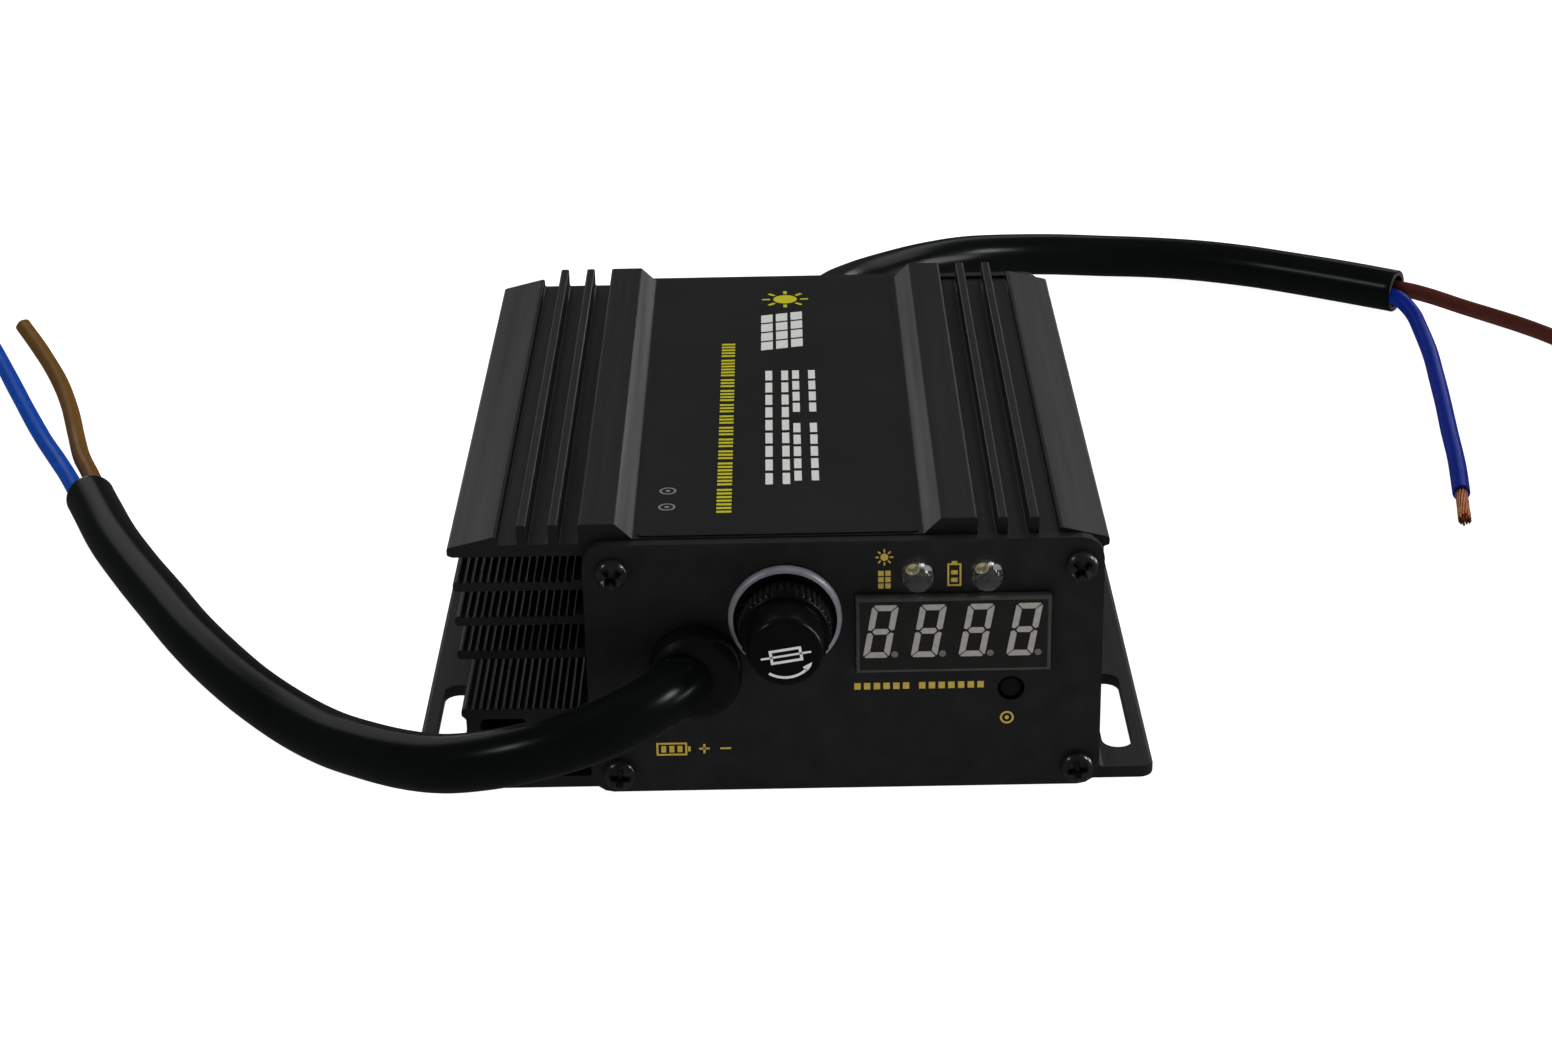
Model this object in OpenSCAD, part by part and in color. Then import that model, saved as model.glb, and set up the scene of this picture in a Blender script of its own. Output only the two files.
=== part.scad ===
/* [Case] */
// Length of the aluminium extrusion, front to back
case_l = 117.6; // [100:0.1:150]
// Width over the two mounting flanges
flange_w = 120; // [116:0.5:130]
// Height of the highest ribs above the mounting face
case_h = 46.5; // [46:0.1:50]
// Thickness of the side walls of the electronics box
wall_t = 2.2; // [1.8:0.1:3]
// Thickness of the bottom web and of the flanges
web_t = 2; // [1.5:0.1:2.5]
// Distance that each heat-sink fin reaches out to the left
fin_x = 51.1; // [48:0.1:51.5]
// Height of the fine ridges on top of each fin
fin_ridge_h = 0.45; // [0.1:0.05:0.6]
// Spacing of those ridges
fin_ridge_p = 1.2; // [0.8:0.1:2]

/* [Mounting slots] */
// Width of a flange slot
slot_w = 5; // [4:0.1:5.4]
// Length of a flange slot, end to end
slot_l = 26; // [12:0.5:34]
// Distance of a slot's middle from the middle of the case, sideways
slot_x = 54.9; // [54.4:0.1:56]
// Distance of a slot's middle from the middle of the case, front to back
slot_y = 39.3; // [30:0.1:42]

/* [End plates] */
// Thickness of the front and rear plates
plate_t = 2; // [1.5:0.1:3]
// Radius of the plates' corners
plate_r = 3.5; // [1:0.5:5]
// Radius of a plate screw's head
screw_head_r = 2.65; // [2.4:0.05:3]

/* [Fuse holder] */
// Radius of the fuse holder's front flange
fuse_ring_r = 8.95; // [8.5:0.05:9.5]
// Radius of the fuse cap's skirt, under its knurls
fuse_cap_r = 6.95; // [6.6:0.05:7.2]
// Radius of the cap's narrower nose
fuse_nose_r = 5.8; // [5:0.1:6.2]
// Distance that the cap stands out of the front plate
fuse_cap_out = 13; // [9:0.1:15]

/* [Front controls] */
// Width of the four-digit display module
display_w = 30.6; // [29.8:0.1:31]
// Height of the four-digit display module
display_h = 13; // [12:0.1:13.4]
// Distance that the display stands out of the front plate
display_out = 1.6; // [0.4:0.1:2]
// Radius of an indicator's dome
led_r = 2.5; // [2:0.1:2.6]
// Radius of the set button
button_r = 1.75; // [1.2:0.05:1.9]

/* [Cords] */
// Radius of a cord's outer sheath
sheath_r = 4.7; // [4.4:0.1:4.7]
// Radius of one insulated core
core_r = 1.75; // [1.2:0.05:1.8]

/* [Hidden] */

$fn = 48;

front_y = -case_l / 2;
rear_y = case_l / 2;
plate_front_y = front_y - plate_t;
plate_rear_y = rear_y + plate_t;

// The electronics box stands to the right of the middle, under a top deck that is symmetric.
box_x0 = -30.6;
box_x1 = 50.8;
deck_z = 41.3;
groove_z = case_h - 3.3;
valley_z = case_h - 2.6;
wing_x = 51.7;
flange_x = flange_w / 2;

// Height of each fin's upper face, and its thickness
fin_tops = [37, 31, 25.1];
fin_t = 1.7;
low_fin_top = 14.6;
low_fin_t = 2;
chamber_wall_x = 50.4;
chamber_rib_x = 40.2;
chamber_rib_t = 1.4;

// Screw channels in the corners of the box
port_x = [-26, 47.2];
port_z = [3.4, 38.9];
port_r = 2.8;
port_hole_r = 1.35;
screw_r = 1.45;
screw_l = 12;
screw_head_h = 1.9;
plate_top = valley_z - 0.2;

fuse_x = 0.9;
fuse_z = 31;
fuse_ring_t = 1.6;
fuse_tube_r = 6.3;
fuse_tube_l = 42.8;
fuse_bore_r = 5.2;
fuse_stem_r = 4.9;
fuse_skirt_out = 6.9;
fuse_stem_l = 10.8;
fuse_l = 30;
fuse_r = 3.15;
fuse_front_y = front_y + 2.3;
fuse_rear_y = fuse_front_y + fuse_l;
fuse_end_l = 6.5;

bush_front_x = -13.4;
bush_rear_x = 10;
bush_z = 22.4;
bush_r = 7.4;
bush_hole_r = 5.9;
bush_out = 5.2;

led_x = [21.7, 32.5];
led_z = 37.8;
led_out = 3.2;
led_hole_r = led_r + 0.1;

display_x = 27.25;
display_z = 28;
display_d = 7.2;
display_back_y = plate_front_y - display_out + display_d;
panel_board_y = display_back_y + 3.4;
board_t = 1.6;

button_x = 36.5;
button_z = 17.6;
button_hole_r = 2.15;
switch_w = 6;
switch_h = 3.6;

board_z = 9;
board_top = board_z + board_t;
board_x0 = -27.2;
board_x1 = 45.8;
board_y0 = -46;
board_y1 = 54;
standoff_x = [-20.3, 41];
standoff_y = [-41, 49];

device_y = [-24, -6, 12];
diode_y = 30;
device_z = 26;
pad_t = 0.5;
coil_x = 8;
coil_y = 8;
coil_r = 16;
coil_hole_r = 9;
coil_h = 13;
coil_wire_w = 1.3;
coil_z = board_top + coil_wire_w;

// Routes of the cords, from inside the case outwards
battery_route = [[-13, -50, 22.5], [-13.3, -57, 22.5], [-14.7, -63.5, 22.4], [-17.8, -69.3, 22],
    [-22, -73.6, 21.2], [-27, -76.3, 20], [-32.5, -77.5, 18.5], [-39, -77.2, 16.5],
    [-46, -75.3, 14.2], [-53, -71.7, 11.8], [-60, -66, 9.6], [-67, -59, 7.6],
    [-74, -51.3, 5.8], [-81.5, -42.5, 4.9], [-89.5, -32.5, 4.8], [-97, -21.5, 4.8],
    [-104, -10, 4.8], [-111, 3, 4.8], [-118, 16, 4.8], [-125, 30, 4.8],
    [-130.5, 43, 4.8], [-133.4, 50, 4.8]];
battery_brown_route = [[-130.9, 48.8, 4.8], [-136, 62.5, 4.3], [-140.2, 74, 3.2], [-144.3, 88, 2.1],
    [-149, 104, 1.8], [-154.5, 119.5, 1.8], [-162, 137, 1.8], [-170, 154, 1.8]];
battery_blue_route = [[-134.3, 47.4, 4.8], [-140, 61.5, 4], [-144.6, 72.5, 3], [-150.5, 86, 2],
    [-156.5, 100, 1.8], [-163, 115.5, 1.8], [-169.5, 131, 1.8], [-176, 146, 1.8]];
battery_tip_end = [-180, 155.5, 1.8];
solar_route = [[10, 50, 22.5], [10, 58, 22.5], [10, 70, 22.3], [10, 84, 21.6], [10, 98, 20.3],
    [10.3, 112, 18.3], [12, 126, 16], [17, 138.5, 13.7], [24.5, 150, 11.8], [33, 160, 10.3],
    [42.5, 167.5, 9], [53, 172.5, 7.6], [64, 175.5, 6.4], [75, 177, 5.3], [86, 176.5, 4.9],
    [97, 174, 4.8], [108, 169.5, 4.8], [118, 164, 4.8], [128, 158, 4.8], [138.5, 151.2, 4.8]];
solar_brown_route = [[136.9, 154.3, 4.8], [141.5, 151.8, 4.7], [146.5, 149.8, 3.8], [152.2, 146.8, 2.6],
    [158, 142.5, 1.9], [163.3, 136.5, 1.8], [168.5, 129, 1.8], [174, 119, 1.8],
    [179, 108, 1.8], [183, 97, 1.8]];
solar_brown_tip_end = [186.5, 87, 1.8];
solar_blue_route = [[134.9, 151, 4.6], [138.4, 147.5, 4.3], [140.2, 141, 3.4], [140.6, 134, 2.4],
    [140.2, 121, 1.8], [138.8, 107, 1.8], [137.3, 93, 1.8], [135.5, 78, 1.8],
    [133.7, 62, 1.8], [131.5, 47, 1.8]];
solar_blue_tip_end = [129.5, 34, 1.8];
copper_r = 1.25;

// ---- helpers -------------------------------------------------------------------------------

function unit(v) = v / norm(v);
function wrap(a) = a > 180 ? a - 360 : a < -180 ? a + 360 : a;

// The points of one rounded corner: b lies between a and c, and r is the corner's radius
function corner(a, b, c, r, steps) =
    r <= 0 ? [b] :
    let(u = unit(a - b), w = unit(c - b), half = acos(u * w) / 2,
        middle = b + unit(u + w) * r / sin(half),
        p = b + u * r / tan(half) - middle, q = b + w * r / tan(half) - middle,
        start = atan2(p[1], p[0]), turn = wrap(atan2(q[1], q[0]) - start))
    [for (i = [0:steps]) middle + r * [cos(start + turn * i / steps), sin(start + turn * i / steps)]];

// A closed outline whose points are [x, y, corner radius]
function rounded(pts, steps = 4) =
    let(n = len(pts), flat = [for (p = pts) [p[0], p[1]]])
    [for (i = [0:n - 1]) each corner(flat[(i + n - 1) % n], flat[i], flat[(i + 1) % n], pts[i][2], steps)];

function box_outline(x0, y0, x1, y1, r) = rounded([[x0, y0, r], [x1, y0, r], [x1, y1, r], [x0, y1, r]]);

// An outline in X and Z, extruded along Y from y0 to y1
module along_y(y0, y1) translate([0, y1, 0]) rotate([90, 0, 0])
    linear_extrude(height = y1 - y0) children();

// A child that stands on the XY plane, turned to stand on a plate and face the front or the rear
module facing_front(x, y, z) translate([x, y, z]) rotate([90, 0, 0]) children();
module facing_rear(x, y, z) translate([x, y, z]) rotate([-90, 0, 0]) children();

// A straight round rod between two points
module rod(a, b, r) {
    d = b - a;
    translate(a) rotate([0, acos(d[2] / norm(d)), atan2(d[1], d[0])]) cylinder(h = norm(d), r = r);
}

// A tube swept along a route, with one ring of corners at each of the route's points. The route never
// runs along the reference direction.
function heading(p, i) = unit(p[min(i + 1, len(p) - 1)] - p[max(i - 1, 0)]);
function ring(p, i, r, sides, reference) =
    let(t = heading(p, i), side = unit(cross(t, reference)), up = cross(side, t))
    [for (k = [0:sides - 1])
        p[i] + r * (cos(360 * (k + 0.5) / sides) * side + sin(360 * (k + 0.5) / sides) * up)];
module tube(p, r, sides, reference = [0, 0, 1]) {
    n = len(p);
    polyhedron(
        points = [for (i = [0:n - 1]) each ring(p, i, r, sides, reference)],
        faces = concat(
            [[for (k = [0:sides - 1]) k]],
            [for (i = [0:n - 2], k = [0:sides - 1])
                let(a = i * sides + k, b = i * sides + (k + 1) % sides) [b, a, a + sides]],
            [for (i = [0:n - 2], k = [0:sides - 1])
                let(a = i * sides + k, b = i * sides + (k + 1) % sides) [b, a + sides, b + sides]],
            [[for (k = [sides - 1:-1:0]) (n - 1) * sides + k]]));
}

// A pan-head screw with a cross recess, head up, that stands on the XY plane
module pan_screw(head_r, head_h, r, l) {
    difference() {
        rotate_extrude() polygon(concat([[0, -l], [r, -l], [r, 0], [head_r, 0]],
            corner([head_r, 0], [head_r, head_h], [0, head_h], head_h * 0.55, 5), [[0, head_h]]));
        for (turn = [0, 90])
            rotate([0, 0, turn + 20]) translate([-head_r * 0.62, -0.4, head_h * 0.4])
                cube([head_r * 1.24, 0.8, head_h]);
    }
}

// ---- case ----------------------------------------------------------------------------------

// Half of the deck's upper outline, from the middle outwards; side is 1 on the right, -1 on the left
function deck_half(side) = [for (p = [
    [22.7, valley_z, 0.3], [25.4, case_h, 0.4], [31.1, case_h, 0.4], [31.1, groove_z, 0.3],
    [34.3, groove_z, 0.3], [34.3, case_h, 0.3], [35.8, case_h, 0.3], [35.8, groove_z, 0.3],
    [39.2, groove_z, 0.3], [39.2, case_h, 0.3], [40.7, case_h, 0.3], [40.7, groove_z, 0.3],
    [43.9, groove_z, 0.3], [43.9, groove_z + 1.5, 0.4], [wing_x, groove_z - 0.4, 0.5],
    [wing_x, groove_z - 1.7, 0.4]]) [side * p[0], p[1], p[2]]];

// The ridged upper face of a fin, from the box out to the fin's tip
function fin_ridges(top, x_in, x_out) =
    let(n = floor((x_out - x_in - 1.6) / fin_ridge_p), last = x_out - 0.9)
    concat([for (i = [n:-1:1]) each [[-last + i * fin_ridge_p, top, 0],
        [-last + (i - 0.5) * fin_ridge_p, top - fin_ridge_h, 0]]], [[-last, top, 0]]);

function fin(top, t) = concat([[box_x0, top, 0.4]], fin_ridges(top, -box_x0, fin_x),
    [[-fin_x, top, 0.6], [-fin_x, top - t, 0.6], [box_x0, top - t, 0.4]]);

function reversed(v) = [for (i = [len(v) - 1:-1:0]) v[i]];

function case_outline() = rounded(concat(
    [[-flange_x, 0, 0.5], [flange_x, 0, 0.5], [flange_x, web_t, 0.6], [box_x1, web_t, 1],
        [box_x1, deck_z - 0.1, 0.2]],
    reversed(deck_half(1)), deck_half(-1),
    [[-50.8, deck_z - 0.1, 0.2], [box_x0, deck_z - 0.1, 0.4]],
    [for (top = fin_tops) each fin(top, fin_t)],
    [[box_x0, low_fin_top, 0.4]], fin_ridges(low_fin_top, -box_x0, fin_x),
    [[-fin_x, low_fin_top, 0.6], [-fin_x, low_fin_top - 1.3, 0.3],
        [-chamber_wall_x, low_fin_top - low_fin_t, 0.3], [-chamber_wall_x, web_t, 1],
        [-flange_x, web_t, 0.6]]), 3);

module slot(x, y) {
    for (end = [-1, 1])
        translate([x, y + end * (slot_l - slot_w) / 2, -1]) cylinder(h = web_t + 2, r = slot_w / 2);
    translate([x - slot_w / 2, y - (slot_l - slot_w) / 2, -1]) cube([slot_w, slot_l - slot_w, web_t + 2]);
}

module flange_corner(sx, sy) {
    r = 2.5;
    difference() {
        translate([sx * flange_x - (sx > 0 ? r : 1), sy * rear_y - (sy > 0 ? r : 1), -1])
            cube([r + 1, r + 1, web_t + 2]);
        translate([sx * (flange_x - r), sy * (rear_y - r), -2]) cylinder(h = web_t + 4, r = r);
    }
}

module case() color([0.12, 0.12, 0.12]) {
    low_top = low_fin_top - low_fin_t;
    rib_x = -chamber_rib_x;
    difference() {
        along_y(front_y, rear_y) difference() {
            polygon(case_outline());
            difference() {
                polygon(box_outline(box_x0 + wall_t, web_t, box_x1 - wall_t, deck_z, 1));
                for (x = port_x, z = port_z) translate([x, z]) circle(r = port_r);
            }
            polygon(box_outline(-chamber_wall_x + wall_t, web_t, rib_x - chamber_rib_t / 2, low_top, 0.8));
            polygon(box_outline(rib_x + chamber_rib_t / 2, web_t, box_x0, low_top, 0.8));
            for (x = port_x, z = port_z) translate([x, z]) circle(r = port_hole_r);
        }
        for (x = [-slot_x, slot_x], y = [-slot_y, slot_y]) slot(x, y);
        for (sx = [-1, 1], sy = [-1, 1]) flange_corner(sx, sy);
        for (y = concat(device_y, [diode_y]))
            translate([box_x0 + 0.4, y, device_z + 7]) rotate([0, 90, 0]) cylinder(h = wall_t, r = 1.3);
    }
}

// ---- end plates ----------------------------------------------------------------------------

module plate_blank(y0) along_y(y0, y0 + plate_t)
    polygon(box_outline(box_x0, 0.1, box_x1, plate_top, plate_r));

module plate_hole(x, z, r) rotate([90, 0, 0]) translate([x, z, -rear_y - 10])
    cylinder(h = case_l + 20, r = r);

module screw_holes() for (x = port_x, z = port_z) plate_hole(x, z, screw_r + 0.2);

module front_plate() color([0.07, 0.08, 0.08]) difference() {
    plate_blank(plate_front_y);
    screw_holes();
    plate_hole(fuse_x, fuse_z, fuse_tube_r + 0.05);
    plate_hole(bush_front_x, bush_z, bush_hole_r + 0.05);
    for (x = led_x) plate_hole(x, led_z, led_hole_r);
    plate_hole(button_x, button_z, button_hole_r);
    translate([display_x - display_w / 2 - 0.1, plate_front_y - 1, display_z - display_h / 2 - 0.1])
        cube([display_w + 0.2, plate_t + 2, display_h + 0.2]);
}

module rear_plate() color([0.07, 0.08, 0.08]) difference() {
    plate_blank(rear_y);
    screw_holes();
    plate_hole(bush_rear_x, bush_z, bush_hole_r + 0.05);
}

module top_label() color([0.13, 0.14, 0.14])
    translate([0, 0, valley_z]) linear_extrude(height = 0.25)
        polygon(box_outline(-22, front_y + 0.5, 22, rear_y - 0.5, 1));

module front_plate_screws() color([0.1, 0.1, 0.1])
    for (x = port_x, z = port_z) facing_front(x, plate_front_y, z)
        pan_screw(screw_head_r, screw_head_h, screw_r, screw_l);

module rear_plate_screws() color([0.1, 0.1, 0.1])
    for (x = port_x, z = port_z) facing_rear(x, plate_rear_y, z)
        pan_screw(screw_head_r, screw_head_h, screw_r, screw_l);

// ---- fuse holder ---------------------------------------------------------------------------

module fuse_holder() color([0.08, 0.08, 0.08]) facing_front(fuse_x, plate_front_y, fuse_z) difference() {
    rotate_extrude() polygon(concat([[0, -fuse_tube_l], [fuse_tube_r, -fuse_tube_l], [fuse_tube_r, 0],
        [fuse_ring_r, 0]],
        corner([fuse_ring_r, 0], [fuse_ring_r, fuse_ring_t], [0, fuse_ring_t], 1, 5), [[0, fuse_ring_t]]));
    translate([0, 0, -fuse_stem_l - 0.6]) cylinder(h = fuse_tube_l, r = fuse_bore_r);
    translate([0, 0, -fuse_tube_l + 1.6]) cylinder(h = fuse_tube_l, r = fuse_r + 0.35);
    translate([0, 0, -fuse_tube_l - 1]) cylinder(h = 4, r = 1);
    translate([-2.6, -fuse_tube_r - 1, -17]) cube([5.2, 3.9, 1]);
}

module fuse_holder_nut() color([0.6, 0.6, 0.58]) facing_front(fuse_x, front_y, fuse_z)
    translate([0, 0, -3.5]) difference() {
        cylinder(h = 3.5, r = 9.7, $fn = 6);
        translate([0, 0, -1]) cylinder(h = 6, r = fuse_tube_r + 0.05);
    }

module fuse_rear_contact() color([0.8, 0.65, 0.3]) {
    end_y = plate_front_y + fuse_tube_l;
    facing_front(fuse_x, end_y - 1.6, fuse_z) cylinder(h = 0.6, r = 3);
    facing_front(fuse_x, end_y + 1, fuse_z) cylinder(h = 2.8, r = 1);
    translate([fuse_x - 2.4, end_y, fuse_z - 0.4]) cube([4.8, 7, 0.8]);
}

module fuse_side_terminal() color([0.8, 0.65, 0.3])
    translate([fuse_x - 2.5, plate_front_y + 16.05, fuse_z - fuse_tube_r - 7]) cube([5, 0.9, 9.5]);

module fuse_contact_spring() color([0.75, 0.75, 0.72]) {
    turns = 4;
    steps = 14;
    y0 = fuse_rear_y + 0.6;
    y1 = plate_front_y + fuse_tube_l - 2.6;
    tube([for (i = [0:turns * steps])
        [fuse_x + 2.3 * cos(i * 360 / steps), y0 + (y1 - y0) * i / (turns * steps),
            fuse_z + 2.3 * sin(i * 360 / steps)]], 0.35, 6, [0, 1, 0]);
}

// The cap's round body on its stem, with a knurled band next to the plate
module fuse_cap() color([0.06, 0.06, 0.06]) facing_front(fuse_x, plate_front_y, fuse_z) {
    back = fuse_ring_t + 0.3;
    foot_r = fuse_nose_r + 0.15;
    knurls = 40;
    difference() {
        rotate_extrude() polygon(concat(
            [[0, -fuse_stem_l], [fuse_stem_r, -fuse_stem_l], [fuse_stem_r, back + 1],
                [fuse_cap_r, back + 1]],
            corner([fuse_cap_r, back], [fuse_cap_r, fuse_skirt_out], [foot_r, fuse_skirt_out], 0.4, 4),
            [[foot_r, fuse_skirt_out]],
            corner([foot_r, fuse_skirt_out], [fuse_nose_r, fuse_cap_out], [0, fuse_cap_out], 0.9, 5),
            [[0, fuse_cap_out]]));
        translate([0, 0, -fuse_stem_l - 1]) cylinder(h = fuse_stem_l - 2, r = 3.9);
    }
    translate([0, 0, back]) linear_extrude(height = fuse_skirt_out - back - 0.6)
        polygon([for (i = [0:2 * knurls - 1]) let(r = fuse_cap_r + (i % 2 == 0 ? 0.3 : 0.05))
            r * [cos(i * 180 / knurls), sin(i * 180 / knurls)]]);
}

module fuse_grip() color([0.8, 0.65, 0.3]) facing_front(fuse_x, plate_front_y, fuse_z)
    translate([0, 0, -fuse_stem_l]) difference() {
        cylinder(h = fuse_stem_l - 3, r = 3.9);
        translate([0, 0, -1]) cylinder(h = fuse_stem_l - 3.1, r = fuse_r + 0.08);
    }

module fuse_glass() color([0.8, 0.9, 0.9, 0.4])
    facing_rear(fuse_x, fuse_front_y + 2, fuse_z) difference() {
        cylinder(h = fuse_l - 4, r = fuse_r - 0.2);
        translate([0, 0, -1]) cylinder(h = fuse_l, r = fuse_r - 0.8);
    }

module fuse_end_caps() color([0.8, 0.8, 0.78])
    for (end = [0, 1]) facing_rear(fuse_x, fuse_front_y + end * fuse_l, fuse_z) mirror([0, 0, end])
        difference() {
            cylinder(h = fuse_end_l, r = fuse_r);
            translate([0, 0, 0.6]) cylinder(h = fuse_end_l, r = fuse_r - 0.2);
        }

module fuse_link() color([0.75, 0.75, 0.75]) facing_rear(fuse_x, fuse_front_y + 0.6, fuse_z)
    cylinder(h = fuse_l - 1.2, r = 0.3, $fn = 16);

// ---- cord bushes ---------------------------------------------------------------------------

// A snap-in bush: rounded head outside the plate, neck through it, and a clip ring behind it. Its bore
// leans sideways with the cord.
module cord_bush(lean) difference() {
    rotate_extrude() polygon(concat(
        [[0, -7], [5.5, -7], [6.7, -plate_t - 0.6], [6.7, -plate_t], [bush_hole_r, -plate_t],
            [bush_hole_r, 0], [bush_r, 0]],
        corner([bush_r, 0], [bush_r, bush_out], [0, bush_out], 1.9, 6), [[0, bush_out]]));
    translate([0, 0, -8]) cylinder(h = 9, r = sheath_r);
    translate([0, 0, -1]) rotate([0, -lean, 0]) cylinder(h = 12, r = sheath_r + 0.05);
}

module front_cord_bush() color([0.05, 0.05, 0.05])
    facing_front(bush_front_x, plate_front_y, bush_z) cord_bush(20);

module rear_cord_bush() color([0.05, 0.05, 0.05])
    facing_rear(bush_rear_x, plate_rear_y, bush_z) cord_bush(0);

// ---- indicators, display and button --------------------------------------------------------

module led(x) facing_front(x, plate_front_y, led_z) {
    translate([0, 0, led_out - led_r]) sphere(r = led_r);
    translate([0, 0, led_out - 8.6]) cylinder(h = 8.6 - led_r, r = led_r);
    translate([0, 0, led_out - 8.6]) cylinder(h = 1, r = led_r + 0.4);
}

module led_solar() color([0.85, 0.87, 0.86, 0.5]) led(led_x[0]);

module led_battery() color([0.85, 0.87, 0.86, 0.5]) led(led_x[1]);

module led_leads() color([0.8, 0.8, 0.8]) {
    y0 = plate_front_y - led_out + 8.6;
    for (x = led_x, dx = [-1.27, 1.27])
        translate([x + dx - 0.25, y0, led_z - 0.25]) cube([0.5, panel_board_y + board_t + 1 - y0, 0.5]);
}

module display_module() color([0.2, 0.2, 0.2])
    translate([display_x, plate_front_y - display_out, display_z]) {
        edge = 0.6;
        half_w = display_w / 2;
        half_h = display_h / 2;
        translate([-half_w, edge, -half_h]) cube([display_w, display_d - edge, display_h]);
        intersection() {
            translate([0, 0, -half_h]) linear_extrude(height = display_h)
                polygon([[-half_w, edge], [-half_w + edge, 0], [half_w - edge, 0], [half_w, edge]]);
            translate([-half_w, 0, 0]) rotate([90, 0, 90]) linear_extrude(height = display_w)
                polygon([[edge, -half_h], [0, -half_h + edge], [0, half_h - edge], [edge, half_h]]);
        }
    }

module display_pins() color([0.8, 0.8, 0.8])
    for (i = [0:5], end = [-1, 1])
        translate([display_x + (i - 2.5) * 2.54 - 0.25, display_back_y, display_z + end * 5 - 0.25])
            cube([0.5, panel_board_y + board_t + 1 - display_back_y, 0.5]);

module display_board() color([0.05, 0.3, 0.15]) difference() {
    along_y(panel_board_y, panel_board_y + board_t) polygon(box_outline(9.5, 11.5, 44, 40.4, 0.8));
    for (x = led_x, dx = [-1.27, 1.27])
        translate([x + dx - 0.25, panel_board_y - 1, led_z - 0.25]) cube([0.5, board_t + 2, 0.5]);
    for (i = [0:5], end = [-1, 1])
        translate([display_x + (i - 2.5) * 2.54 - 0.25, panel_board_y - 1, display_z + end * 5 - 0.25])
            cube([0.5, board_t + 2, 0.5]);
}

module display_ribbon() color([0.6, 0.6, 0.6])
    translate([14, 0, 0]) rotate([90, 0, 90]) linear_extrude(height = 13)
        polygon([[panel_board_y + board_t, 17], [-45.2, 17], [-42.6, 14.4], [-42, board_top],
            [-43, board_top], [-43.6, 14], [-45.6, 16], [panel_board_y + board_t, 16]]);

module set_switch() color([0.1, 0.1, 0.1]) difference() {
    translate([button_x - switch_w / 2, panel_board_y - switch_h, button_z - switch_w / 2])
        cube([switch_w, switch_h, switch_w]);
    facing_front(button_x, panel_board_y - switch_h + 1.4, button_z) cylinder(h = 3, r = button_r + 0.3);
}

module set_button() color([0.08, 0.08, 0.08]) {
    back_y = panel_board_y - switch_h + 0.8;
    facing_front(button_x, back_y, button_z) cylinder(h = back_y - plate_front_y - 0.3, r = button_r);
}

// ---- main board and its parts --------------------------------------------------------------

module main_board() color([0.05, 0.3, 0.15]) difference() {
    translate([0, 0, board_z]) linear_extrude(height = board_t)
        polygon(box_outline(board_x0, board_y0, board_x1, board_y1, 1));
    for (x = standoff_x, y = standoff_y) translate([x, y, board_z - 1]) cylinder(h = board_t + 2, r = 1.6);
}

module insulating_sheet() color([0.85, 0.85, 0.8]) difference() {
    translate([-22, board_y0, web_t]) cube([64, board_y1 - board_y0, 0.3]);
    for (x = standoff_x, y = standoff_y) translate([x, y, 1]) cylinder(h = 3, r = 3.2);
}

module board_standoffs() color([0.75, 0.7, 0.45])
    for (x = standoff_x, y = standoff_y) translate([x, y, web_t]) difference() {
        cylinder(h = board_z - web_t, r = 2.6);
        translate([0, 0, 1.5]) cylinder(h = board_z, r = 1.35);
    }

module board_screws() color([0.7, 0.7, 0.7])
    for (x = standoff_x, y = standoff_y) translate([x, y, board_top]) pan_screw(2.7, 1.8, screw_r, 5);

module inductor_core() color([0.25, 0.4, 0.3]) translate([coil_x, coil_y, coil_z]) difference() {
    cylinder(h = coil_h, r = coil_r);
    translate([0, 0, -1]) cylinder(h = coil_h + 2, r = coil_hole_r);
}

module inductor_winding() color([0.75, 0.4, 0.2]) {
    w = coil_wire_w;
    depth = coil_r - coil_hole_r;
    for (i = [0:25]) translate([coil_x, coil_y, coil_z]) rotate([0, 0, 7 + i * 13.5])
        translate([coil_hole_r, -w / 2, 0]) difference() {
            translate([-w, 0, -w]) cube([depth + 2 * w, w, coil_h + 2 * w]);
            translate([0.01, -1, 0.01]) cube([depth - 0.02, w + 2, coil_h - 0.02]);
        }
}

module capacitor(x, y, r, h) translate([x, y, board_top]) difference() {
    rotate_extrude() polygon(concat([[0, 0], [r, 0], [r, 1.6], [r - 0.5, 2.2], [r, 2.8]],
        corner([r, 2.8], [r, h], [0, h], 0.8, 4), [[0, h]]));
    for (turn = [0, 90])
        rotate([0, 0, turn + 45]) translate([-r * 0.7, -0.15, h - 0.3]) cube([r * 1.4, 0.3, 1]);
}

module input_capacitors() color([0.1, 0.12, 0.2]) for (y = [18, 36]) capacitor(35, y, 8, 25);

module output_capacitors() color([0.1, 0.12, 0.2]) for (x = [17, 31]) capacitor(x, -24, 6.3, 22);

// A power device that stands against the left wall with its tab flat on an insulating pad
module power_device(y) {
    tab_x = box_x0 + wall_t + pad_t;
    difference() {
        translate([tab_x, y - 5, device_z - 5.5]) cube([1.3, 10, 15.6]);
        translate([tab_x - 1, y, device_z + 7]) rotate([0, 90, 0]) cylinder(h = 4, r = 1.75);
    }
    translate([tab_x + 0.1, y - 5, device_z - 5.5]) cube([4.5, 10, 9]);
    for (dy = [-2.54, 0, 2.54])
        translate([tab_x + 2, y + dy - 0.4, board_top - 2])
            cube([0.6, 0.8, device_z - 5.5 - board_top + 2.5]);
}

module power_transistors() color([0.12, 0.12, 0.12]) for (y = device_y) power_device(y);

module rectifier_diode() color([0.15, 0.15, 0.15]) power_device(diode_y);

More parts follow.
